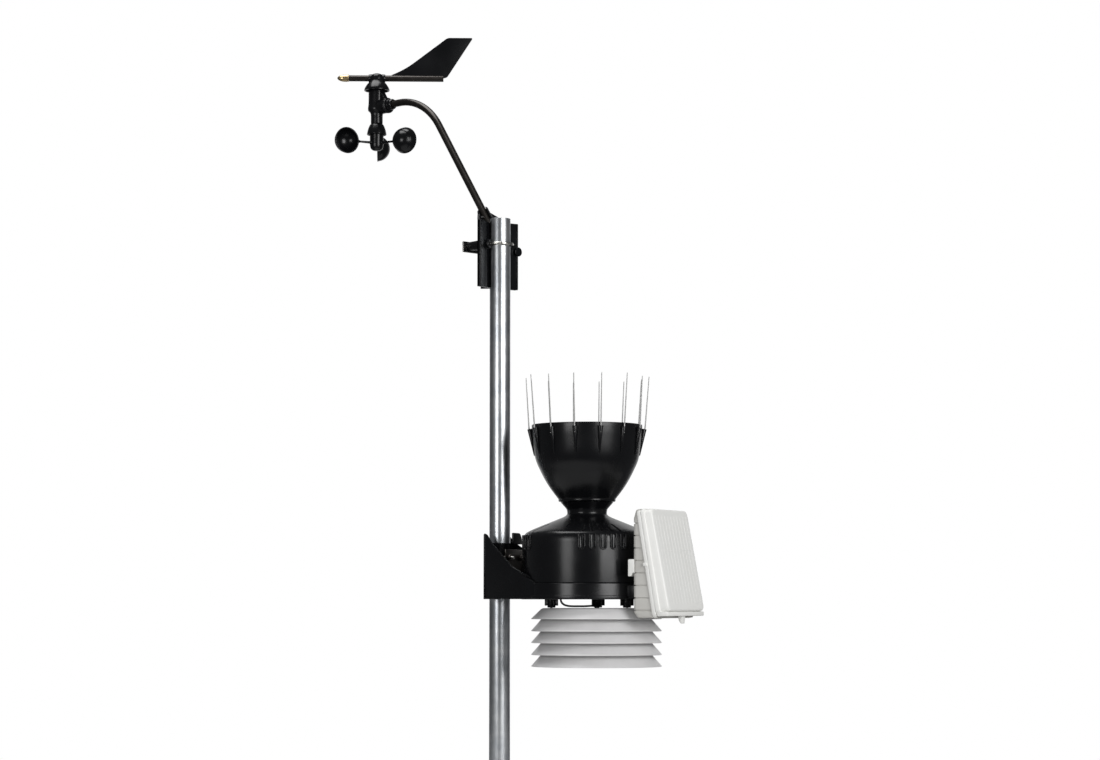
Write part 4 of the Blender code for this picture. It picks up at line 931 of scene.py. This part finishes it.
def makeSkirt():
    radius, low, wall = skirt["radius"], skirt["low"], skirt["wall"]
    outside = filleted([
        (0.0376, 0.5108), (0.0398, 0.5108, 0.0003), (0.0307, 0.5005, 0.002), (0.0296, 0.4925, 0.003),
        (0.0351, 0.4887, 0.004), (0.0652, 0.4766, 0.004), (0.0780, 0.4713),
    ], closed=False, steps=6)
    outside += flowing([(0.0780, 0.4713), (0.0865, 0.4676), (0.0921, 0.4643), (0.0952, 0.4598),
                        (0.0965, 0.4535),
                        (radius, 0.4470)], 6)[1:]
    outside += filleted([(radius, 0.4470), (radius, low + 0.0006, 0.0004), (radius - 0.0004, low, 0.0003)],
                        closed=False)[1:]
    inside = [(radius - wall, low), (radius - wall, 0.4528)]
    for across, up in ((0.0945, 0.4598), (0.0895, 0.4643), (0.0652, 0.4756), (0.0351, 0.4887),
                       (0.0296, 0.4925),
                       (0.0307, 0.5005)):
        inside.append((across - wall, up - 0.0012))
    cutters = []
    for degrees in gripTurns:
        # a finger pocket in the side and a groove up the cone above it
        spot = polar(radius + 0.0022, degrees)
        cutters.append(rodShape((*spot, 0.4402), (*spot, 0.4690), grip["pocket"], None, 28, 0.0014))
        cutters.append(rodShape(polar(0.0640, degrees, 0.4786), polar(0.0925, degrees, 0.4667),
                                grip["groove"], None,
                                24, 0.0009))
    shell = carve(spunShape(outside + inside, 176), cutters)
    addPiece("collectorSkirt", shell, "collector", "black_plastic", ("collector_skirt",), collectorAt, 32.0)


def makeGripRims():
    # the raised lip round the lower half of each grip pocket
    across = skirt["radius"] + 0.0004
    leg = grip["high"] - grip["low"]
    lips = []
    for degrees in gripTurns:
        lip = tubeShape((across, -grip["half"], grip["high"]), (0, 0, -1), grip["lip"], 14, [
            ("run", (0, 0, -leg)),
            ("bend", (across, 0, grip["low"]), (1, 0, 0), math.pi, 18),
            ("run", (0, 0, leg)),
        ])
        lips.append(placed(lip, Matrix.Rotation(math.radians(degrees), 4, "Z")))
    addPiece("gripRims", joined(*lips), "collector", "black_plastic", (), collectorAt, 60.0)


makeBowl()
makeSpikes()
makeScreen()
makeSkirt()
makeGripRims()

print("base tray and bracket")
base = {"radius": 0.0992, "low": 0.3645, "top": 0.3885, "back": -0.0083, "half": 0.032, "thick": 0.0022}
shieldOff = 0.0156  # the shield's axis lies this far beyond the collector's
louvreTips = (0.3349, 0.3167, 0.2992, 0.2813, 0.2638)
louvreRise = 0.0195
rodCircle = 0.070
rodTurns = (221.6, 336.4, 113.8)
stationLevels = (0.386, 0.428)
trayFloor = 0.3694
boxBack = 0.1066  # from the collector's axis to the back of the electronics box
drainAway = 0.055


def bracketWall(side):
    # a side wall that leaves the pole and meets the round tray as a tangent, with a rounded top edge
    start = Vector((base["back"], side * base["half"]))
    toCentre = Vector((collectorAway, 0)) - start
    lean = math.asin((base["radius"] - base["thick"]) / toCentre.length)
    heading = math.atan2(toCentre.y, toCentre.x) + side * lean
    low = base["low"] + 0.0004
    outline = filleted([(0.0, low, 0.0006), (0.0, 0.465, 0.0012), (0.006, 0.4635, 0.003),
                        (0.020, 0.4494, 0.006),
                        (0.080, 0.4074, 0.016), (0.111, 0.400, 0.006), (0.128, 0.3895), (0.128, low)])
    near, far = sorted((0.0, side * base["thick"]))
    wall = pushedShape(outline, near, far, "Y", 0.0005)
    # a lip along the wall's foot and one at its pole edge
    foot = boxShape((0.001, min(0, side * 0.0030), low), (0.122, max(0, side * 0.0030), low + 0.0028), 0.0006)
    edge = boxShape((0.0, min(0, side * 0.0032), low), (0.0030, max(0, side * 0.0032), 0.4635), 0.0007)
    place = Matrix.Translation((start.x, start.y, 0)) @ Matrix.Rotation(heading, 4, "Z")
    return placed(joined(wall, foot, edge), place)


def trayShape():
    radius, low, top = base["radius"], base["low"], base["top"]
    tray = spunShape(filleted([
        (0, 0.3690), (0.0968, 0.3690), (0.0968, top, 0.0004), (0.0985, top, 0.0004),
        (radius, top - 0.0006, 0.0004),
        (radius, 0.3704, 0.0004), (0.0998, 0.3698, 0.0004), (0.0998, 0.3652, 0.0006), (0.0985, low, 0.0005),
        (0, low + 0.0004),
    ], closed=False), 176, closed=False)
    drains = []
    for side in (-1, 1):
        x = collectorAway + side * drainAway
        drains.append(rodShape((x, 0, 0.36), (x, 0, 0.375), 0.006, None, 40))
    return carve(placed(tray, Matrix.Translation((collectorAway, 0, 0))), drains)


def stationSaddle():
    # the block behind the pole, bored for the legs of both U-bolts
    outline = saddleOutline(base["back"] + 0.0035, 0.0040, 0.0225, base["half"] + 0.0012)
    ways = []
    for side in (-1, 1):
        for level in stationLevels:
            start, end = (-0.02, side * boltLeg, level), (0.04, side * boltLeg, level)
            ways.append(rodShape(start, end, bolt["radius"] + 0.001, None, 32))
    return carve(pushedShape(outline, base["low"] + 0.0006, 0.4505, "Z"), ways)


def standoff(turn):
    # a bored post under the tray for one of the shield's screws, with four webs round it
    x, y = polar(rodCircle, turn)
    x += collectorAway + shieldOff
    low = louvreTips[0] + louvreRise - 0.0022
    boss = rodShape((x, y, low), (x, y, 0.372), 0.0060, 0.0066, 40, 0.0006)
    parts = [carve(boss, [rodShape((x, y, 0.34), (x, y, 0.3665), 0.0021, None, 24)])]
    for quarter in range(4):
        web = boxShape((0.004, -0.0007, low + 0.003), (0.0105, 0.0007, 0.3665), 0.0003)
        place = Matrix.Translation((x, y, 0)) @ Matrix.Rotation(math.radians(45 + 90 * quarter), 4, "Z")
        parts.append(placed(web, place))
    return joined(*parts)


def makeBase():
    floor = [(0.012, -0.034), (0.075, -0.060), (0.075, 0.060), (0.012, 0.034)]
    ear = filleted([(0.0045, 0.449), (0.0330, 0.449), (0.0330, 0.4590, 0.006), (0.0265, 0.4665, 0.004),
                    (0.0045, 0.4665, 0.0015)])
    parts = [trayShape(), stationSaddle(), bracketWall(-1), bracketWall(1),
             pushedShape(floor, base["low"] + 0.0008, 0.3672, "Z", 0.0005),
             pushedShape(ear, 0.0185, 0.0215, "X", 0.0006)]
    for side in (-1, 1):
        # the blocks that the box stands against
        parts.append(boxShape((collectorAway + 0.088, side * 0.038 - 0.007, 0.3665),
                              (collectorAway + boxBack - gap, side * 0.038 + 0.007, 0.3855), 0.0008))
    parts += [standoff(turn) for turn in rodTurns]
    addPiece("stationBase", joined(*parts), "mast", "black_plastic", ("station_base",), stationAt, 32.0)


def makeStationClamps():
    low, high = 0.0228, 0.0250
    legs = [(side * boltLeg, level) for level in stationLevels for side in (-1, 1)]
    # the plate and nuts take the darkened plated steel, painted shade for the bracket's hollow
    boltPlate("stationPlate", (low, -0.0272, 0.3735), (high, 0.0272, 0.4405), legs, "station_plate",
              stationAt,
              "dullPlate")
    for number, level in enumerate(stationLevels, 1):
        uBolt(f"stationBolt{number}", level, 0.0345, f"station_u_bolt_{number}", stationAt)
    for number, (y, level) in enumerate(legs, 1):
        boltNut(f"stationNut{number}", high + gap, y, level, f"station_nut_{number}", stationAt, "dullPlate")


makeBase()
makeStationClamps()

print("tipping bucket")


def makeBucketSwitch():
    level = axleLevel + 0.024
    switch = rodShape((-0.008, 0.0228, level), (0.008, 0.0228, level), 0.0018, None, 28, 0.0005)
    addPiece("bucketSwitch", switch, "mast", "stainless_steel", ("bucket_switch",), collectorAt)


def makeStopScrew(number, side):
    x, threads = side * 0.037, 22
    screw = tubeShape((x, 0, trayFloor), (0, 0, 1), 0.002, 24, [
        ("run", (0, 0, 0.003)),
        ("thread", (0, 0, axleLevel - trayFloor), threads * 2, 0.0002),
        ("run", (0, 0, 0.0002)),
    ])
    nut = rodShape((x, 0, trayFloor), (x, 0, 0.3728), 0.0042, None, 6, 0.0004)
    addPiece(f"stopScrew{number}", joined(screw, nut), "mast", "stainless_steel", (f"stop_screw_{number}",),
             collectorAt, 60.0)


def makeDrainScreen(number, side):
    dome = filleted([(0, 0.3752), (0.0045, 0.3742, 0.002), (0.0072, 0.3718, 0.001), (0.0092, 0.3714, 0.0004),
                     (0.0092, trayFloor), (0, trayFloor)], closed=False)
    parts = [spunShape(dome, 48, closed=False)]
    for spoke in range(12):
        rib = boxShape((0.002, -0.0003, 0.3735), (0.0070, 0.0003, 0.3752), 0.0001)
        parts.append(turned(rib, math.tau * spoke / 12))
    place = collectorAt @ Matrix.Translation((side * drainAway, 0, 0))
    addPiece(f"drainScreen{number}", joined(*parts), "mast", "grey_plastic", (f"drain_screen_{number}",),
             place)


softCopy("tipping_bucket", 0.0004, "black_plastic", "bucket")
softCopy("bucket_axle", 0.0003, "stainless_steel", "bucket")
softCopy("bucket_magnet", 0.0004, "magnet_grey", "bucket")
softCopy("bucket_frame", 0.0005, "black_plastic")
makeBucketSwitch()
for number, side in enumerate((-1, 1), 1):
    makeStopScrew(number, side)
    makeDrainScreen(number, side)

print("electronics box")
box = {"back": collectorAway + boxBack, "half": 0.065, "rimHalf": 0.0675, "low": 0.3374, "top": 0.497,
       "topX": 0.1193, "lowX": 0.1457, "wall": 0.0024, "corner": 0.006, "foot": 0.008, "shoulder": 0.014}
groove = {"count": 8, "high": 0.4765, "pitch": 0.0183, "deep": 0.0014}
cover = {"deep": 0.0192, "wall": 0.0022, "lift": 0.0022, "corner": 0.0078, "taper": 0.112, "step": 0.0082,
         "front": collectorAway + 0.1648}


def jointX(height, ahead=0.0):
    # how far the slanted face between shell and cover lies from the pole at this height
    share = (box["top"] - height) / (box["top"] - box["low"])
    return collectorAway + box["topX"] + (box["lowX"] - box["topX"]) * share + ahead


slantFoot = Vector((jointX(box["low"]), 0, box["low"]))
slantTop = Vector((jointX(box["top"]), 0, box["top"]))
slantUp = (slantTop - slantFoot).normalized()
slantOut = Vector((slantUp.z, 0, -slantUp.x))
slantHalf = (slantTop - slantFoot).length / 2
slantAt = Matrix((
    (0, slantUp.x, slantOut.x, (slantFoot.x + slantTop.x) / 2),
    (1, 0, 0, 0),
    (0, slantUp.z, slantOut.z, (slantFoot.z + slantTop.z) / 2),
    (0, 0, 0, 1),
))


def backX(height):
    # the back leans in at the box's foot and shoulder
    low, top, foot, shoulder = box["low"], box["top"], box["foot"], box["shoulder"]
    if height < low + foot:
        return box["back"] + 0.006 * (1 - (height - low) / foot)
    if height > top - shoulder:
        return box["back"] + 0.004 * (height - top + shoulder) / shoulder
    return box["back"]


def shellLoop(bm, height, inset, sunk):
    # three sides of the box at one height: side wall, round corner, back, round corner, side wall
    half, corner, back = box["half"] - inset, box["corner"], backX(height) + inset
    front = jointX(height)
    rimX = max(back + corner + 0.001, front - 0.0088)  # grooves end at the rim
    spots = [(front, -half), (rimX + 0.0006, -half), (rimX, sunk - half)]
    for step in range(7):
        turn = math.radians(270 - 90 * step / 6)
        spots.append((back + sunk + corner + corner * math.cos(turn),
                      sunk - half + corner + corner * math.sin(turn)))
    spots += [(x, -y) for x, y in reversed(spots)]
    return [bm.verts.new((x, y, height)) for x, y in spots]


def makeShell():
    bm = bmesh.new()
    low, top, deep = box["low"], box["top"], groove["deep"]
    # each level is (height, inset all round, how deep a groove is sunk there)
    levels = [(low, 0.0022, 0), (low + 0.0005, 0.0010, 0), (low + 0.0014, 0.0003, 0), (low + 0.003, 0, 0),
              (low + 0.0075, 0, 0)]
    for number in reversed(range(groove["count"])):
        level = groove["high"] - groove["pitch"] * number
        levels += [(level - 0.0010, 0, 0), (level - 0.0006, 0, deep), (level + 0.0006, 0, deep),
                   (level + 0.0010, 0, 0)]
    levels += [(top - box["shoulder"], 0, 0), (top - 0.004, 0, 0), (top - 0.0016, 0.0004, 0),
               (top - 0.0006, 0.0012, 0), (top, 0.0026, 0)]
    loops = [shellLoop(bm, *level) for level in levels]
    for first, second in zip(loops, loops[1:]):
        for a, b, c, d in zip(first, first[1:], second[1:], second):
            bm.faces.new((a, b, c, d))
    foot = bm.faces.new(list(reversed(loops[0])))
    bm.faces.new(loops[-1])
    bmesh.ops.recalc_face_normals(bm, faces=bm.faces)
    if foot.normal.z > 0:
        bmesh.ops.reverse_faces(bm, faces=bm.faces)
    # painted shade: the shell takes the darker copy of the white, for the shade on its side wall
    shell = addPiece("boxShell", bm, "mast", "white_plastic", ("box_shell",), stationAt, look="shellWhite")
    thicken(shell, box["wall"])
    softenEdges(shell, 0.0003, 50.0)


def slantRing(levels, corner, innerHalf):
    # a frame of rounded rectangles standing out from the slanted face
    bm = bmesh.new()
    loops = []
    for out, inset in levels:
        loops.append(roundedLoop(bm, box["rimHalf"] - inset, slantHalf - inset, corner - inset * 0.5,
                                 Matrix.Translation((0, 0, out))))
    inset = box["rimHalf"] - innerHalf
    for out in (levels[-1][0], levels[0][0]):
        loops.append(roundedLoop(bm, innerHalf, slantHalf - inset, 0.004, Matrix.Translation((0, 0, out))))
    for one, two in zip(loops, loops[1:] + loops[:1]):
        bmesh.ops.bridge_loops(bm, edges=one + two)
    pointOut(bm)
    return bm


def makeFlange():
    # each level is (how far out, inset)
    levels = [(-0.0066, 0.0022), (-0.0062, 0.0010), (-0.0054, 0.0002), (-0.0046, 0.0), (-0.0012, 0.0),
              (-0.0005, 0.0001), (-0.0001, 0.0004)]
    addPiece("boxRim", slantRing(levels, 0.0075, 0.0626), "mast", "white_plastic", (), stationAt @ slantAt,
             30.0)


def makeHooks():
    # a hook on the box's back and a small catch on its rim, on each side
    back = box["back"]
    hook = filleted([(back + 0.002, 0.4235), (back - 0.0065, 0.4235, 0.001), (back - 0.0078, 0.4222, 0.0008),
                     (back - 0.0078, 0.3985, 0.0008), (back - 0.0035, 0.3985, 0.001),
                     (back - 0.0012, 0.4035, 0.001), (back + 0.002, 0.4035)])
    parts = []
    for side in (-1, 1):
        near, far = sorted((side * (box["half"] - 0.0125), side * (box["half"] - 0.0002)))
        parts.append(pushedShape(hook, near, far, "Y", 0.0005))
        near, far = sorted((side * 0.0665, side * 0.0690))
        parts.append(boxShape((jointX(0.4165, -0.0075), near, 0.4130), (jointX(0.4165, -0.0012), far, 0.4180),
                              0.0007))
    addPiece("boxHooks", joined(*parts), "mast", "white_plastic", (), stationAt, 30.0)


def coverOut(out, up):
    # the cover is deeper at its foot than at its top
    return out * (1.0 - cover["taper"] * up / slantHalf)


def makeCover():
    bm = bmesh.new()
    # each level is (how far out, inset)
    levels = [(0.0001, 0.0005), (0.0005, 0.0001), (0.0012, 0.0), (0.0052, 0.0), (0.0060, 0.0003),
              (0.0066, 0.0011),
              (0.0071, 0.0017), (0.0084, 0.0019), (0.0140, 0.0022), (0.0168, 0.0026), (0.0181, 0.0033),
              (0.0189, 0.0044), (cover["deep"], 0.0060)]
    lift = cover["lift"]
    loops = [roundedLoop(bm, box["rimHalf"] - inset, slantHalf - lift - inset * 0.8, cover["corner"],
                         Matrix.Translation((0, lift, out)), 7) for out, inset in levels]
    for one, two in zip(loops, loops[1:]):
        bmesh.ops.bridge_loops(bm, edges=one + two)
    face = bmesh.ops.edgeloop_fill(bm, edges=loops[-1])["faces"]
    bmesh.ops.inset_region(bm, faces=face, thickness=0.004, depth=0.0)
    for vert in bm.verts:
        if vert.co.z > cover["step"] and vert.co.y < -0.055:
            vert.co.y += 0.10 * (vert.co.z - cover["step"])  # the foot slopes in under the face
        if vert.co.z > 0.0004:
            vert.co.z = coverOut(vert.co.z, vert.co.y)
    pointOut(bm)
    shell = addPiece("boxCover", bm, "cover", "white_plastic", ("box_cover",), stationAt @ slantAt, 30.0)
    thicken(shell, cover["wall"])


def coverRibs():
    # faint upright ribs on the cover's face, and the line across its middle
    deep, low, high, middle = cover["deep"], -0.0640, 0.069, 0.0172
    sunk = deep - 0.00095
    parts = []
    for number in range(11):
        across = -0.0540 + 0.0108 * number
        start, end = (across, low, coverOut(sunk, low)), (across, high, coverOut(sunk, high))
        parts.append(rodShape(start, end, 0.0012, None, 24, 0.0004))
    out = coverOut(deep, middle) - 0.0007
    parts.append(rodShape((-0.053, middle, out), (0.053, middle, out), 0.00085, None, 16, 0.0003))
    return placed(joined(*parts), slantAt)


def makeCoverDetails():
    # the ribs, the lip along the cover's foot and the thumb tab under it
    front = cover["front"]
    lip = filleted([(jointX(0.3396, 0.0006), 0.3396), (front - 0.0012, 0.3402, 0.0016),
                    (front - 0.0012, 0.3462, 0.0010), (front - 0.0040, 0.3466),
                    (jointX(0.3466, 0.0006), 0.3466)])
    tab = filleted([(front - 0.0115, 0.3470), (front - 0.0050, 0.3475), (front - 0.0062, 0.3290, 0.001),
                    (front - 0.0085, 0.3290, 0.001), (front - 0.0120, 0.3350, 0.002)])
    parts = [coverRibs(), pushedShape(lip, -0.0650, 0.0650, "Y", 0.0014),
             pushedShape(tab, -0.0055, 0.0055, "Y", 0.0006)]
    addPiece("coverDetails", joined(*parts), "cover", "white_plastic", (), stationAt, 30.0)


def makeBoard():
    low = box["back"] + 0.0060
    face = box["back"] + 0.0076
    board = boxShape((low, -0.050, 0.362), (face, 0.050, 0.478), 0.0002)
    addPiece("circuitBoard", board, "mast", "circuit_green", ("circuit_board",), stationAt)
    # each chip is (across, up, wide, tall, deep)
    chips = ((-0.020, 0.448, 0.014, 0.014, 0.0016), (0.018, 0.452, 0.010, 0.018, 0.0020),
             (-0.030, 0.418, 0.008, 0.012, 0.0018), (0.006, 0.420, 0.018, 0.010, 0.0022),
             (0.034, 0.420, 0.008, 0.008, 0.0030), (-0.008, 0.398, 0.010, 0.006, 0.0015))
    parts = []
    for across, up, wide, tall, deep in chips:
        parts.append(boxShape((face, across - wide / 2, up - tall / 2),
                              (face + deep, across + wide / 2, up + tall / 2), 0.0003))
    addPiece("boardChips", joined(*parts), "mast", "lead_black", (), stationAt)
    sockets = [boxShape((face, across - 0.006, 0.366), (face + 0.0105, across + 0.006, 0.378), 0.0005)
               for across in (-0.036, -0.022, 0.030)]
    addPiece("boardSockets", joined(*sockets), "mast", "grey_plastic", (), stationAt)


def makeBattery():
    cell = spunShape(filleted([(0, 0.0180), (0.0030, 0.0180, 0.0003), (0.0030, 0.0172),
                               (0.0078, 0.0172, 0.0004),
                               (0.0085, 0.0164, 0.0004), (0.0085, -0.0172, 0.0008), (0.0070, -0.0180, 0.0005),
                               (0, -0.0180)], closed=False), 56, closed=False)
    spot = Matrix.Translation((box["back"] + 0.0182, 0, 0.3720))
    place = stationAt @ spot @ Matrix.Rotation(-math.pi / 2, 4, "X")
    addPiece("batteryCell", cell, "mast", "grey_plastic", ("battery",), place)


makeShell()
makeFlange()
makeHooks()
makeCover()
makeCoverDetails()
makeBoard()
makeBattery()

print("radiation shield")
shield = {"radius": 0.0985, "shoulder": 0.082, "thick": 0.0020, "inner": 0.040, "steps": 168,
          "capDrop": 0.0030,
          "way": 0.0021}
shieldAt = stationAt @ Matrix.Translation((collectorAway + shieldOff, 0, 0))


def louvreFlat(number):
    # the height of a plate's flat middle; the cap's lies a little lower
    return louvreTips[number] + louvreRise - (0.0 if number else shield["capDrop"])


def louvreProfile(number, inner):
    radius, shoulder, thick = shield["radius"], shield["shoulder"], shield["thick"]
    tip, flat = louvreTips[number], louvreFlat(number)
    return [(inner, flat), (shoulder, flat, 0.0030), (radius, tip + 0.0007, 0.0004),
            (radius - 0.0014, tip, 0.0004),
            (shoulder - 0.0010, flat - thick, 0.0025), (inner, flat - thick)]


def louvrePosts(number):
    # hollow posts that space this plate from the next
    flat = louvreFlat(number) - shield["thick"]
    below = louvreTips[number + 1] + louvreRise
    profile = filleted([(0.0023, flat + 0.0002), (0.0052, flat + 0.0002), (0.0046, below, 0.0003),
                        (0.0023, below)])
    return [placed(spunShape(profile, 40),
                   Matrix.Translation((*polar(rodCircle, turn), 0))) for turn in rodTurns]


def makeLouvre(number):
    # the first plate is the closed cap, bored only for the sensor's lead
    inner = shield["inner"] if number else 0
    profile = filleted(louvreProfile(number, inner), closed=bool(number), steps=5)
    plate = spunShape(profile, shield["steps"], closed=bool(number))
    ways = [rodShape((*polar(rodCircle, turn), 0.25), (*polar(rodCircle, turn), 0.36), shield["way"], None,
                     24)
            for turn in rodTurns]
    if number == 0:
        ways.append(rodShape((0, 0, 0.34), (0, 0, 0.36), 0.0044, None, 40))
    parts = [carve(plate, ways)]
    if number + 1 < len(louvreTips):
        parts += louvrePosts(number)
    name = f"shieldPlate{number}" if number else "shieldCap"
    node = f"shield_plate_{number}" if number else "shield_cap"
    addPiece(name, joined(*parts), "mast", "grey_plastic", (node,), shieldAt, 38.0)


def makeShieldScrew(number, turn):
    x, y = polar(rodCircle, turn)
    top = louvreTips[-1] + louvreRise - shield["thick"] - gap
    shank = rodShape((x, y, top - 0.001), (x, y, 0.3655), 0.0018, None, 24, 0.0003)
    cap = rodShape((x, y, top - 0.0042), (x, y, top - 0.0008), 0.0041, None, 6, 0.0003)
    washer = rodShape((x, y, top - 0.0009), (x, y, top), 0.0045, None, 40, 0.0002)
    addPiece(f"shieldScrew{number}", joined(shank, cap, washer), "mast", "stainless_steel",
             (f"shield_screw_{number}",), shieldAt)


def makeAirSensor():
    body = filleted([(0, 0.3458), (0.009, 0.3458, 0.0008), (0.011, 0.3438, 0.001), (0.011, 0.322, 0.0008),
                     (0.0075, 0.320, 0.0008), (0.0075, 0.299, 0.0015), (0.006, 0.2965, 0.001), (0, 0.2965)],
                    closed=False)
    slots = [turned(boxShape((0.005, -0.0010, 0.3020), (0.012, 0.0010, 0.3160), 0.0004),
                    math.tau * number / 8)
             for number in range(8)]
    sensor = carve(spunShape(body, 64, closed=False), slots)
    addPiece("airSensor", sensor, "mast", "white_plastic", ("air_sensor",), shieldAt)


def pathTube(points, radius, sides):
    # a round lead along a smooth path, its rings carried along without twist
    line = [Vector(spot) for spot in flowing(points, 6)]
    bm = bmesh.new()
    heading = (line[1] - line[0]).normalized()
    turn = heading.to_track_quat("Z", "Y")
    rings = []
    for index, spot in enumerate(line):
        ahead = (line[min(index + 1, len(line) - 1)] - line[max(index - 1, 0)]).normalized()
        turn = heading.rotation_difference(ahead) @ turn
        heading = ahead
        place = Matrix.Translation(spot) @ turn.to_matrix().to_4x4()
        rings.append([bm.verts.new(place @ Vector(polar(radius, 360 * side / sides,
                                                        0))) for side in range(sides)])
    for first, second in zip(rings, rings[1:]):
        for side in range(sides):
            other = (side + 1) % sides
            bm.faces.new((first[side], first[other], second[other], second[side]))
    bm.faces.new(list(reversed(rings[0])))
    bm.faces.new(rings[-1])
    bmesh.ops.recalc_face_normals(bm, faces=bm.faces)
    return bm


def makeLead():
    # out of the tray's floor, over the cap and down into the shield, measured from the shield's axis
    route = [(-0.054, -0.034, 0.3735), (-0.054, -0.034, 0.3650), (-0.0525, -0.0338, 0.3600),
             (-0.0485, -0.0332, 0.3565), (-0.0425, -0.0325, 0.3548), (-0.0350, -0.0312, 0.3543),
             (-0.0270, -0.0290, 0.3543), (-0.0190, -0.0245, 0.3543), (-0.0125, -0.0175, 0.3546),
             (-0.0070, -0.0100, 0.3549), (-0.0032, -0.0045, 0.3543), (-0.0008, -0.0012, 0.3518),
             (0.0, 0.0, 0.3490), (0.0, 0.0, 0.3462)]
    middle = shieldAt @ Vector((0, 0, 0))
    points = [(middle.x + across, middle.y + depth, height) for across, depth, height in route]
    addPiece("sensorLead", pathTube(points, 0.0015, 20), "mast", "lead_black", ("sensor_lead",))


for number in range(len(louvreTips)):
    makeLouvre(number)
for number, turn in enumerate(rodTurns, 1):
    makeShieldScrew(number, turn)
makeAirSensor()
makeLead()

print("stage")


def makeStage():
    bm = bmesh.new()
    bmesh.ops.create_circle(bm, cap_ends=True, radius=0.8, segments=128)
    bmesh.ops.translate(bm, vec=(0, 0, -0.0005), verts=bm.verts)
    mesh = bpy.data.meshes.new("floor")
    bm.to_mesh(mesh)
    bm.free()
    floor = bpy.data.objects.new("floor", mesh)
    bpy.context.scene.collection.objects.link(floor)
    material, tree, shader, where = startMaterial("paleFloor")
    skin = placeGroup(tree, mouldedSkin, {"Vector": where, "Fine": 300.0, "Broad": 3.0})
    colour = blendColours(tree, skin.outputs["Mottle"], (0.62, 0.62, 0.615), (0.58, 0.58, 0.575))
    tree.links.new(colour, shader.inputs["Base Color"])
    shader.inputs["Roughness"].default_value = 0.7
    mesh.materials.append(material)


def addLight(name, spot, aim, wide, tall, power):
    light = bpy.data.lights.new(name, "AREA")
    light.shape = "RECTANGLE"
    light.size = wide
    light.size_y = tall
    light.energy = power
    obj = bpy.data.objects.new(name, light)
    bpy.context.scene.collection.objects.link(obj)
    obj.location = spot
    obj.rotation_euler = (Vector(spot) - Vector(aim)).to_track_quat("Z", "Y").to_euler()
    obj.visible_camera = False


def makeWorld():
    world = bpy.data.worlds.new("studio")
    bpy.context.scene.world = world
    world.use_nodes = True
    tree = world.node_tree
    shown = tree.nodes["Background"]
    shown.inputs["Color"].default_value = (1, 1, 1, 1)
    # the room lights matt faces softly and stays dark in what shines
    around = addNode(tree, "ShaderNodeBackground", {"Color": (0.97, 0.98, 1.0, 1.0), "Strength": 0.29})
    mirrored = addNode(tree, "ShaderNodeBackground", {"Color": (0.95, 0.97, 1.0, 1.0), "Strength": 0.09})
    path = addNode(tree, "ShaderNodeLightPath")
    room = addNode(tree, "ShaderNodeMixShader", {0: path.outputs["Is Glossy Ray"]})
    tree.links.new(around.outputs[0], room.inputs[1])
    tree.links.new(mirrored.outputs[0], room.inputs[2])
    mix = addNode(tree, "ShaderNodeMixShader", {0: path.outputs["Is Camera Ray"]})
    tree.links.new(room.outputs[0], mix.inputs[1])
    tree.links.new(shown.outputs[0], mix.inputs[2])
    tree.links.new(mix.outputs[0], tree.nodes["World Output"].inputs["Surface"])


def makeCamera():
    camera = bpy.data.objects.new("camera", bpy.data.cameras.new("camera"))
    bpy.context.scene.collection.objects.link(camera)
    camera.location = (0.0772, -4.074, 0.3645)
    camera.rotation_euler = (math.radians(94.044), 0, 0)
    camera.data.lens = 86.7
    camera.data.sensor_width = 36.0
    camera.data.shift_y = 0.0292
    bpy.context.scene.camera = camera


makeStage()
middleSpot = (0.10, -0.05, 0.60)
addLight("keyBox", (2.10, -2.75, 1.36), (0.10, -0.05, 1.30), 1.6, 2.1, 83.0)
addLight("sideBox", (-1.90, -2.85, 0.86), (0.10, -0.05, 0.86), 1.1, 1.1, 26.0)
addLight("topBox", (-0.4, 0.1, 2.5), middleSpot, 1.3, 1.1, 26.0)
addLight("backCard", (0.1, 2.4, 1.0), middleSpot, 3.2, 2.0, 14.0)
makeWorld()
makeCamera()
bpy.context.scene.view_settings.view_transform = "Standard"
